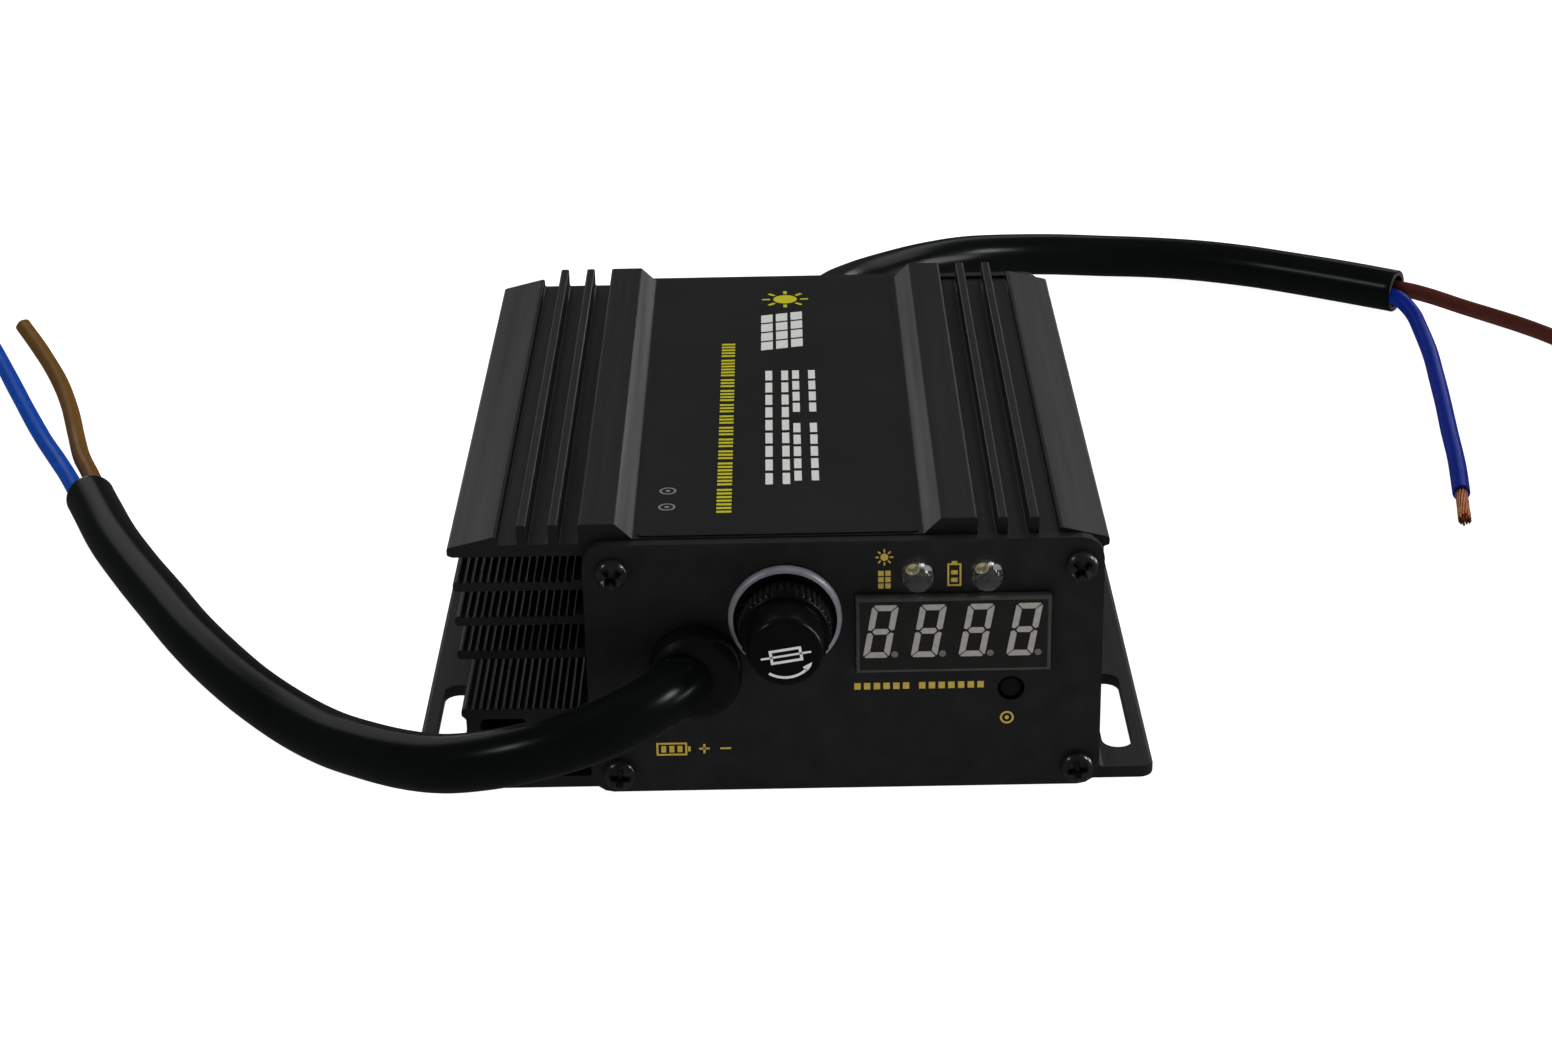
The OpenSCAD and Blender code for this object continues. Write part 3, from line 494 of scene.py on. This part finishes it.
# The carried-over pieces. Those that a finer piece replaces further down aren't in this list.
LOOKS = {
    EXTRUSION: ["case"], PLATE: ["front_plate", "rear_plate"], LABEL: ["top_label"],
    BUSH: ["front_cord_bush", "rear_cord_bush"], MATTE_BLACK: ["set_switch"],
    GLASS: ["fuse_glass"],
    TINNED: ["fuse_holder_nut", "fuse_end_caps", "fuse_contact_spring", "fuse_link", "led_leads",
             "display_pins", "board_screws", "transistor_screws", "shunt_resistor"],
    BRASS: ["fuse_rear_contact", "fuse_side_terminal", "fuse_grip", "board_standoffs"],
    GREEN: ["display_board", "main_board"], RIBBON: ["display_ribbon"], FILM: ["insulating_sheet"],
    FERRITE: ["inductor_core"], ENAMEL: ["inductor_winding"],
    SLEEVE: ["input_capacitors", "output_capacitors"],
    CHIP: ["power_transistors", "rectifier_diode", "controller_chip", "driver_chips"],
    PAD: ["insulating_pads"], RED: ["fuse_leads"],
    CORE_TAN: ["battery_lead_positive"], CORE_RED_BROWN: ["solar_lead_positive"],
    CORE_SKY: ["battery_lead_negative"], CORE_DEEP: ["solar_lead_negative"],
}
for look, nodes in LOOKS.items():
    for node in nodes:
        clad(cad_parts[node], look)


def soften(node, width):
    """Breaks the sharp edges of a carried-over piece a little, so that they catch the light."""
    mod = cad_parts[node].modifiers.new("broken_edges", "BEVEL")
    mod.width, mod.segments, mod.limit_method = width * MM, 1, "ANGLE"
    mod.angle_limit = math.radians(50)


soften("case", 0.12)

# ---- cords ----------------------------------------------------------------------------------

SHEATH_SIDES = 40
CORE_SIDES = 24
CONDUCTOR_R = 1.3
STRAND_R = 0.235
STRAND_SIDES = 6
STRAND_STEPS = 8
STRAND_TWIST = 70       # degrees, from one end of the bare wire to the other
STRAND_LOWEST = 0.28    # the middle of a strand stays this far above the floor
STRAND_HIDDEN = 0.6     # the strands start this far inside the end of the insulation
STRAND_SPOTS = ([(0, 0)] + [(0.5, w * 60) for w in range(6)]
                + [(0.97, w * 30 + 15) for w in range(12)])     # distance out and angle


def sheath(name, points):
    """The black sheath, a little uneven, with the mouth of its cut end round the two cores."""
    path = catmull(points)
    n = len(path)
    swell = [0.02 * math.sin(i * 0.31) + 0.015 * math.sin(i * 0.13 + 1) for i in range(n)]
    rings = [(i, 0, SHEATH_R - 0.03 + swell[i]) for i in range(n - 1)]
    rings += [(n - 1, along, SHEATH_R - thin) for along, thin in (
        (-0.35, 0), (-0.1, 0.1), (0, 0.35), (0, 1.0), (-0.15, 1.2), (-1.6, 1.3))]
    mesh = mesh_of(name, *swept(path, rings, SHEATH_SIDES))
    obj = clad(add_object(name + "_tube", mesh, replaced=[name]), PVC)
    mesh.materials.append(PVC_CUT)
    for face in range((n + 1) * SHEATH_SIDES, (n + 3) * SHEATH_SIDES):
        mesh.polygons[face].material_index = 1
    length_of(path)


def core(name, points, material, slant=(0, 0)):
    """One insulated core, from the mouth of the sheath, with a shallow recess in its cut end."""
    path = catmull(points)
    n = len(path)
    rings = [(i, 0, CORE_R - 0.02 + 0.015 * math.sin(i * 0.41)) for i in range(n - 1)]
    rings += [(n - 1, -0.1, CORE_R - 0.02), (n - 1, 0, CORE_R - 0.15),
              (n - 1, 0, CONDUCTOR_R), (n - 1, -0.25, CONDUCTOR_R - 0.05)]
    mesh = mesh_of(name, *swept(path, rings, CORE_SIDES, slant))
    obj = clad(add_object(name + "_wire", mesh, replaced=[name]), material)
    length_of(path)


def strands(name, starts, replaced, seed):
    """Bundles of fine bare strands. starts holds (start, end, how far they spread at the end)."""
    rng = random.Random(seed)
    verts, faces = [], []
    for start, end, spread in starts:
        start, end = Vector(start), Vector(end)
        t = (end - start).normalized()
        a = t.cross(Vector((0, 0, 1))).normalized()
        b = t.cross(a)
        for r, w in STRAND_SPOTS:
            reach = rng.uniform(0.93, 1.0)
            fan = rng.uniform(0.3, 1.0)
            path = []
            for k in range(STRAND_STEPS + 1):
                s = k / STRAND_STEPS
                angle = math.radians(w + STRAND_TWIST * s)
                out = r * (1 + spread * fan * s * s)
                q = (start + (end - start) * s * reach
                     + (a * math.cos(angle) + b * math.sin(angle)) * out)
                q.z = max(q.z, STRAND_LOWEST)
                path.append(q)
            rings = [(k, 0, STRAND_R) for k in range(STRAND_STEPS + 1)]
            v, f = swept(path, rings, STRAND_SIDES)
            faces += [tuple(i + len(verts) for i in face) for face in f]
            verts += v
    mesh = mesh_of(name, verts, faces)
    return clad(add_object(name, mesh, replaced=replaced, smooth=50), COPPER)


def bare(points, tip, spread):
    """Where the bare wire of a core starts and ends, and its spread."""
    end, start = Vector(tip), Vector(points[-1])
    return start + (start - end).normalized() * STRAND_HIDDEN, tip, spread


battery_strands = strands("battery_strands", [bare(BATTERY_BLUE, BATTERY_TIP, 0.15)],
                          ["battery_core_tip"], 3)
solar_strands = strands("solar_strands", [bare(SOLAR_BLUE, SOLAR_BLUE_TIP, 0.15),
                                          bare(SOLAR_BROWN, SOLAR_BROWN_TIP, 0.1)],
                        ["solar_core_tips"], 5)
battery_mouth = mm(*BATTERY[-1])
solar_mouth = mm(*SOLAR[-1])
sheath("battery_sheath", BATTERY)
sheath("solar_sheath", SOLAR)
core("battery_core_brown", BATTERY_BROWN, CORE_TAN, slant=(0.4, 0.85))
core("battery_core_blue", BATTERY_BLUE, CORE_SKY)
core("solar_core_brown", SOLAR_BROWN, CORE_RED_BROWN)
core("solar_core_blue", SOLAR_BLUE, CORE_DEEP)

# ---- fuse cap and holder --------------------------------------------------------------------

plate_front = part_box("front_plate")[0].y
plate_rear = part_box("rear_plate")[1].y
fuse_centre = middle("fuse_cap")
KNURLS = 40
KNURL_H = 0.3
SKIRT_R = 6.95
SKIRT_OUT = 6.9
SKIRT_ROUND = 0.35
NOSE_R = 5.8
NOSE_ROUND = 0.9
FACE_DISH = 0.08
CAP_PRINT_TURN = 9      # degrees
cap_out = (plate_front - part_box("fuse_cap")[0].y) / MM
stem_back = -(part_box("fuse_cap")[1].y - plate_front) / MM


def fuse_cap():
    """A bored stem, a knurled skirt and a narrower nose with a slightly dished face."""
    stem_r, bore_r, bore_out, under, foot_r = 4.9, 3.9, -3.0, 1.9, NOSE_R + 0.15
    profile = [(bore_r, bore_out), (bore_r, stem_back), (stem_r - 0.3, stem_back),
               (stem_r, stem_back + 0.3), (stem_r, under + 0.2), (SKIRT_R - 0.4, under),
               (SKIRT_R - 0.1, under + 0.12), (SKIRT_R, under + 0.3)]
    knurled = (len(profile), len(profile) + 1)
    profile += [(SKIRT_R, under + 0.5), (SKIRT_R, SKIRT_OUT - 0.75), (SKIRT_R, SKIRT_OUT - 0.5)]
    profile += arc(SKIRT_R - SKIRT_ROUND, SKIRT_OUT - SKIRT_ROUND, SKIRT_ROUND, 0, 90, 5)
    profile += [(foot_r + 0.25, SKIRT_OUT), (foot_r + 0.07, SKIRT_OUT + 0.06),
                (foot_r, SKIRT_OUT + 0.25)]
    profile += arc(NOSE_R - NOSE_ROUND, cap_out - NOSE_ROUND, NOSE_ROUND, 0, 90, 10)
    profile += [(NOSE_R - 1.2, cap_out - 0.02), (NOSE_R - 1.5, cap_out - FACE_DISH),
                (3, cap_out - FACE_DISH)]

    def knurl(j, w):
        return KNURL_H * abs(math.sin(KNURLS * w / 2)) ** 0.8 if j in knurled else 0
    mesh = lathe_mesh("fuse_cap_turned", profile, front_place(fuse_centre, plate_front),
                      KNURLS * 8, knurl)
    clad(add_object("fuse_cap_knurled", mesh, "fuse_knob", ["fuse_cap"]), MOULDED)


def cap_print():
    """A fuse symbol, and under it an arrow that shows the way to turn."""
    face_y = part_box("fuse_cap")[0].y + FACE_DISH * MM
    ink = Ink(front_place(fuse_centre, face_y, CAP_PRINT_TURN))
    box_w, box_h, low, line = 4.6, 2.0, -0.35, 0.42
    ink.stroke([(-box_w / 2, low - box_h / 2), (box_w / 2, low - box_h / 2),
                (box_w / 2, low + box_h / 2), (-box_w / 2, low + box_h / 2)], line, True)
    ink.bar(0, low, box_w + 3.2, line * 0.8)
    arrow_z, arrow_r, barb = 0.5, 4.6, 0.7
    ink.stroke(arc(0, arrow_z, arrow_r, 228, 306, 18), line)
    tip = arc(0, arrow_z, arrow_r, 325, 326, 1)[0]
    ink.slab([tip, *(arc(0, arrow_z, r, 304, 305, 1)[0] for r in (arrow_r + barb, arrow_r - barb))])
    ink.piece("fuse_cap_print", PRINT_WHITE, "label_sheet", "fuse_knob")


def fuse_holder():
    """The holder's bored tube and its flange: a rounded rim about a slightly dished face, the rim
    with a painted highlight.
    """
    tube_r, rim_r, rim_t, bore_r, fuse_r, tail_r, edge = 6.3, 8.95, 1.6, 5.2, 3.5, 1, 1
    tail = -(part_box("fuse_holder")[1].y - plate_front) / MM
    step, floor_out, dish, rim_in = -11.4, tail + 1.6, rim_t - 0.25, 8.15
    profile = [(tail_r, tail), (tube_r, tail), (tube_r, 0), (rim_r, 0), (rim_r, 0.25)]
    first = len(profile) - 1
    profile += arc(rim_r - edge, rim_t - edge, edge, 0, 78, 8)
    last = len(profile) - 1
    profile += [(rim_in - 0.1, rim_t), (rim_in - 0.5, dish), (bore_r, dish), (bore_r, step),
                (fuse_r, step), (fuse_r, floor_out), (tail_r, floor_out)]
    sides = 120
    place = front_place(fuse_centre, plate_front)
    turned = lathe_mesh("fuse_holder_turned", profile, place, sides, loop=True)
    for mat in (MOULDED, RIM_PAINTED_HIGHLIGHT):
        turned.materials.append(mat)
    # The faces of the rounded rim get the painted highlight.
    for face in range(first * sides, last * sides):
        turned.polygons[face].material_index = 1
    half, low, high = 2.6, -tube_r - 1, -3.4        # the slot of the side terminal
    corners = [place(x, z, out) for out in (-17, -16)
               for x, z in ((-half, low), (half, low), (half, high), (-half, high))]
    mesh = cut_from(turned, [mesh_of("slot", corners, BOX_FACES)])
    add_object("fuse_holder_turned", mesh, replaced=["fuse_holder"],
               smooth=25)


fuse_cap()
cap_print()
fuse_holder()

# ---- plate screws ---------------------------------------------------------------------------

HEAD_R = 2.65
HEAD_H = 1.9
HEAD_BAND = 0.5         # the straight edge under the dome
SCREW_R = 1.45
SCREW_L = 12
THREAD_STEP = 0.3       # from a crest to a root
THREAD_DEPTH = 0.16


def pan_screw(place):
    """A domed pan head with a tapered cross recess, on a threaded shank."""
    threads = [(SCREW_R - THREAD_DEPTH * (i % 2), -THREAD_STEP - i * THREAD_STEP)
               for i in range(int((SCREW_L - 1.2) / THREAD_STEP))]
    profile = [(0.5, -SCREW_L), (SCREW_R - 0.3, -SCREW_L + 0.7)] + threads[::-1] + [
        (SCREW_R, 0), (HEAD_R - 0.1, 0), (HEAD_R, 0.12), (HEAD_R, HEAD_BAND)]
    for a in range(10, 80, 10):
        profile.append((HEAD_R * math.cos(math.radians(a)) ** 0.8,
                        HEAD_BAND + (HEAD_H - HEAD_BAND) * math.sin(math.radians(a))))
    profile.append((0.8, HEAD_H))
    head = lathe_mesh("pan_head", profile, place, 48)
    cutters = []
    for a, b in ((1, 0), (0, 1)):
        corners = []
        for half_l, half_w, out in ((0.75, 0.3, HEAD_H - 1.5), (2.15, 0.62, HEAD_H + 0.2)):
            for u, v in ((-1, -1), (1, -1), (1, 1), (-1, 1)):
                along, across = u * half_l, v * half_w
                corners.append(place(along * a - across * b, along * b + across * a, out))
        cutters.append(mesh_of("recess", corners, BOX_FACES))
    return cut_from(head, cutters)


def plate_screws(name, node, place, face_y, turns):
    """One screw in each corner of the box of a node. turns holds how far each one is turned."""
    lo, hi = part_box(node)
    reach = Vector((1, 0, 1)) * HEAD_R * MM
    lo, hi = lo + reach, hi - reach
    spots = [Vector((x, 0, z)) for z in (hi.z, lo.z) for x in (lo.x, hi.x)]
    mesh = joined(name, [pan_screw(place(q, face_y, turn)) for q, turn in zip(spots, turns)])
    clad(add_object(name, mesh, replaced=[node], smooth=35), SCREW)


plate_screws("front_pan_screws", "front_plate_screws", front_place, plate_front, (38, 45, -5, 8))
plate_screws("rear_pan_screws", "rear_plate_screws", rear_place, plate_rear, (12, 64, 30, 81))

# ---- indicators -----------------------------------------------------------------------------

LENS_R = 2.5
CUP_DEPTH = 3.4         # from the tip of the lens down to the cup
POST_HALF_T = 0.25


def indicator(node):
    """A clear 5 mm indicator with its lead frame inside: a cup on one post, and a second post."""
    centre = middle(node)
    lo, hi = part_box(node)
    tip = (plate_front - lo.y) / MM
    foot = -(hi.y - plate_front) / MM
    place = front_place(centre, plate_front)
    profile = [(LENS_R + 0.4, foot), (LENS_R + 0.4, foot + 1), (LENS_R, foot + 1.05),
               (LENS_R, tip - LENS_R - 0.6)]
    profile += arc(0, tip - LENS_R, LENS_R, 0, 84, 16)
    body = lathe_mesh(node + "_lens", profile, place, 72)
    clad(add_object(node + "_lens", body, replaced=[node], smooth=40), CLEAR)
    cup_top = tip - CUP_DEPTH
    cup = lathe_mesh(node + "_cup", [(0.4, cup_top - 1.6), (0.6, cup_top - 1.0), (0.62, cup_top),
                                     (0.55, cup_top), (0.3, cup_top - 0.4)],
                     front_place(centre + mm(-0.45, 0, 0.35), plate_front), 32)
    clad(add_object(node + "_cup", cup), CUP)
    posts = []
    for x, w, top in ((-0.9, 0.3, cup_top - 1.1), (0.85, 0.3, cup_top - 0.5)):
        box = [(x - w, -POST_HALF_T), (x + w, -POST_HALF_T), (x + w, POST_HALF_T),
               (x - w, POST_HALF_T)]
        verts = [place(a, b, out) for out in (foot + 0.05, top) for a, b in box]
        posts.append(mesh_of("post", verts, BOX_FACES))
    frame_mesh = joined(node + "_frame", posts)
    clad(add_object(node + "_frame", frame_mesh, smooth=0), LEAD_FRAME)


indicator("led_solar")
indicator("led_battery")

# ---- display --------------------------------------------------------------------------------

DIGIT_W = 4.15
DIGIT_H = 9.14
DIGIT_PITCH = 7.5
DIGITS = 4
STROKE_W = 0.98
SLANT = math.tan(math.radians(10))
GAP = 0.17
POINT_R = 0.55


def segments():
    """The seven bars of one digit, upright, with mitred ends."""
    w, h, t, g = DIGIT_W / 2, DIGIT_H / 2, STROKE_W, GAP
    top = [(-w + 1.6 * g, h - g), (-w + 3 * g, h), (w - 3 * g, h), (w - 1.6 * g, h - g),
           (w - t - 0.6 * g, h - t), (-w + t + 0.6 * g, h - t)]
    upper = [(w, h - 3 * g), (w - 0.8 * g, h - 1.8 * g), (w - t, h - t - 0.9 * g),
             (w - t, t / 2 + g), (w - t / 2, g), (w, 2 * g)]
    bar = [(-w + t / 2 + 1.6 * g, 0), (-w + t + g, t / 2), (w - t - g, t / 2),
           (w - t / 2 - 1.6 * g, 0), (w - t - g, -t / 2), (-w + t + g, -t / 2)]
    out = [top, [(x, -z) for x, z in top], bar]
    for sx in (1, -1):
        for sz in (1, -1):
            out.append([(sx * x, sz * z) for x, z in upper])
    return out


def display_body():
    """The module's shell: a box with a bevelled rim, and its dark face inside the rim."""
    lo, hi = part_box("display_module")
    rim = 0.4 * MM
    sheet = 0.3 * MM
    rings = [(0, hi.y), (0, lo.y + rim * 0.8), (rim * 0.3, lo.y + rim * 0.25), (rim, lo.y),
             (rim + sheet * 0.5, lo.y)]
    verts = []
    for d, y in rings:
        verts += [(x, y, z) for x, z in ((lo.x + d, lo.z + d), (hi.x - d, lo.z + d),
                                         (hi.x - d, hi.z - d), (lo.x + d, hi.z - d))]
    faces = [(3, 2, 1, 0)]
    last = 4 * (len(rings) - 1)
    for j in range(0, last, 4):
        faces += [(j + k, j + (k + 1) % 4, j + 4 + (k + 1) % 4, j + 4 + k) for k in range(4)]
    faces.append((last, last + 1, last + 2, last + 3))
    mesh = mesh_of("display_body", verts, faces)
    clad(add_object("display_body", mesh, replaced=["display_module"],
                    smooth=20), SHELL)
    mesh.materials.append(FACE)
    mesh.polygons[len(faces) - 1].material_index = 1


def display_face():
    """The unlit segments of the slanting digits, and a decimal point after each one."""
    centre = middle("display_module") + mm(-0.15, 0, 0.8)
    place = front_place(centre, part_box("display_module")[0].y)
    bars, points = Ink(place), Ink(place)
    for i in range(DIGITS):
        x = (i - (DIGITS - 1) / 2) * DIGIT_PITCH
        for outline in segments():
            bars.slab([(x + a + b * SLANT, b) for a, b in outline])
        points.disc(x + DIGIT_W / 2 + 0.1, -DIGIT_H / 2 + POINT_R, POINT_R)
    bars.piece("display_segments", SEGMENT, "display_face")
    points.piece("display_points", POINT, "display_face")


display_body()
display_face()

# ---- set button -----------------------------------------------------------------------------


def set_button():
    """A round stem with a rounded edge."""
    lo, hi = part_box("set_button")
    out, back = (plate_front - lo.y) / MM, -(hi.y - plate_front) / MM
    r, edge = (hi.x - lo.x) / 2 / MM, 0.4
    profile = [(r, back), (r, out - edge)] + arc(r - edge, out - edge, edge, 0, 90, 5)
    profile.append((0.7, out))
    place = front_place(middle("set_button"), plate_front)
    mesh = lathe_mesh("set_button_turned", profile, place, 48)
    clad(add_object("set_button_stem", mesh, "button", ["set_button"]), MATTE_BLACK)


set_button()

# ---- generic print in place of the lettering ------------------------------------------------


def sun(ink, x, z, r, ray):
    """A disc with eight rays of that length."""
    ink.disc(x, z, r)
    reach = r + ray * 0.9
    for turn in range(0, 360, 45):
        a = math.radians(turn)
        ink.bar(x + reach * math.cos(a), z + reach * math.sin(a), ray, ray * 0.45, turn)


def frame_line(ink, x0, z0, x1, z1, width):
    ink.stroke([(x0, z0), (x1, z0), (x1, z1), (x0, z1)], width, closed=True)


def target(ink, x, z, r, width, dot):
    """A ring with a dot in its middle."""
    ink.ring(x, z, r, width)
    ink.disc(x, z, dot)


def cell(ink, x, z, w, h, width):
    """A battery symbol standing on end: outline, cap and two charge bars."""
    frame_line(ink, x - w / 2, z - h / 2, x + w / 2, z + h / 2, width)
    ink.bar(x, z + h / 2 + width * 1.3, w * 0.45, width * 1.3)
    for k in (0, 1):
        ink.bar(x, z - h / 4 + k * h * 0.36, w - 3.2 * width, h * 0.2)


def blocks(ink, x0, z, words, w, h, gap, slit=0):
    """Plain blocks where a line of lettering stood. words holds how many stand close together, and
    a slit splits each block into two bars."""
    x = x0
    for count in words:
        for _ in range(count):
            if slit:
                for side in (-1, 1):
                    ink.bar(x + w / 2, z + side * (h + slit) / 4, w, (h - slit) / 2)
            else:
                ink.bar(x + w / 2, z, w, h)
            x += w + gap
        x += w


def plate_print():
    """A sun over a panel and a battery beside the indicators, blocks under the display, a ring
    under the button, and a battery with plus and minus under the battery cord."""
    ink = Ink(front_place(Vector(), plate_front), 0.025)
    led_a, led_b = (middle(n) / MM for n in ("led_solar", "led_battery"))
    shown, bush, button = (middle(n) / MM for n in ("display_module", "front_cord_bush",
                                                    "set_button"))
    sun(ink, led_a.x - 5.2, led_a.z + 3.1, 0.62, 0.55)
    for k in range(3):
        for j in range(2):
            ink.bar(led_a.x - 5.75 + 1.1 * j, led_a.z + 0.35 - 1.1 * k, 0.85, 0.85)
    cell(ink, led_b.x - 5.1, led_b.z - 0.1, 1.9, 3.6, 0.28)
    blocks(ink, shown.x - 15.6, shown.z - 9.6, [6, 7], 1.02, 1.15, 0.52)
    target(ink, button.x - 0.6, button.z - 5.2, 0.95, 0.32, 0.34)
    x, z = bush.x - 0.3, bush.z - 14.7
    frame_line(ink, x - 6.2, z - 1, x - 1.6, z + 1, 0.32)
    ink.bar(x - 1.1, z, 0.45, 0.9)
    for k in range(3):
        ink.bar(x - 5.2 + 1.3 * k, z, 0.8, 1.15)
    long, thin = 1.7, 0.34
    ink.bar(x + 1.3, z, long, thin)
    ink.bar(x + 1.3, z, thin, long)
    ink.bar(x + 4.7, z, long, thin)
    ink.piece("front_plate_print", PRINT_GOLD, "label_sheet")


def label_print():
    """A sun over a panel, two white lines and a yellow line of blocks, and two grey rings."""
    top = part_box("top_label")[1].z

    def place(u, v, out):
        """u runs along the case from the rear to the front, and v to the right."""
        return Vector((v * MM, -u * MM, top + out * MM))
    white, yellow, grey = Ink(place), Ink(place), Ink(place)
    blocks(white, -10.4, 4.8, [4, 5], 4.0, 4.0, 1.05, slit=1.6)
    blocks(white, -10.4, 0.1, [9], 4.5, 4.0, 1.15, slit=1.6)
    for k in range(4):
        for j in range(3):
            white.bar(-36.4 + 4.6 * k - 0.7 * j, -1.6 + 2.7 * j, 3.9, 2.1, lean=-0.25)
    sun(yellow, -46.6, 1.8, 2.2, 1.5)
    blocks(yellow, -24, -8.5, [5, 6, 3, 4, 3, 3, 3, 3, 3, 7, 7], 0.8, 2.4, 0.62)
    for u in (41.2, 47.5):
        target(grey, u, -17.6, 1.2, 0.35, 0.4)
    white.piece("label_print_white", PRINT_WHITE, "label_sheet")
    yellow.piece("label_print_yellow", PRINT_YELLOW, "label_sheet")
    grey.piece("label_print_grey", PRINT_GREY, "label_sheet")


plate_print()
label_print()

# ---- lights and floor -----------------------------------------------------------------------


def area(name, place, aim, size, power):
    """A rectangular light of so many watts that shines towards aim."""
    data = bpy.data.lights.new(name, "AREA")
    data.shape = "RECTANGLE"
    data.size, data.size_y = size
    data.energy = power
    obj = bpy.data.objects.new(name, data)
    bpy.context.scene.collection.objects.link(obj)
    obj.location = place
    obj.rotation_euler = (Vector(aim) - Vector(place)).to_track_quat("-Z", "Y").to_euler()
    return obj


FLOOR_Z = -0.00005
FLOOR_SIZE = 8
WORLD_STRENGTH = 0.05
bpy.ops.mesh.primitive_grid_add(x_subdivisions=2, y_subdivisions=2, size=FLOOR_SIZE,
                                location=(0, 0, FLOOR_Z))
floor = bpy.context.object
floor.name = "floor"
clad(floor, surface("floor_white", (0.4, 0.4, 0.4), 0.7, tone=0.01, grain=3, bump=0.0,
                    Specular_IOR_Level=0.1, Emission_Color=(1, 1, 1, 1), Emission_Strength=0.97))
floor.visible_glossy = False        # the black gloss mirrors the lights only

world = bpy.data.worlds.new("studio")
bpy.context.scene.world = world
world.use_nodes = True
background = world.node_tree.nodes["Background"]
background.inputs["Color"].default_value = (1, 1, 1, 1)
background.inputs["Strength"].default_value = WORLD_STRENGTH
area("overhead", (0, 0.25, 1.5), (0, 0.05, 0), (1.2, 0.9), 13).visible_glossy = False
area("window", (1.1, -0.2, 0.68), (0, -0.07, 0.03), (0.3, 0.3), 4.0)
area("back_right", (1.1, 1.9, 1.15), (0, 0, 0.04), (1.6, 0.6), 2.4)
area("back_left", (-1.1, 1.9, 1.15), (0, 0, 0.04), (1.6, 0.6), 2.2)
area("low_right", (0.88, 2.0, 0.3), (0, 0, 0.04), (0.45, 0.36), 0.9)
area("low_left", (-0.88, 2.0, 0.3), (0, 0, 0.04), (0.45, 0.36), 0.7)
area("right_card", (0.8, 0.12, 0.13), (0.01, -0.06, 0.03), (0.5, 0.25), 2.2)
area("left_window", (-0.9, -0.5, 0.8), (0, -0.03, 0.03), (0.2, 0.2), 1.2)
bpy.context.scene.view_settings.view_transform = "Standard"
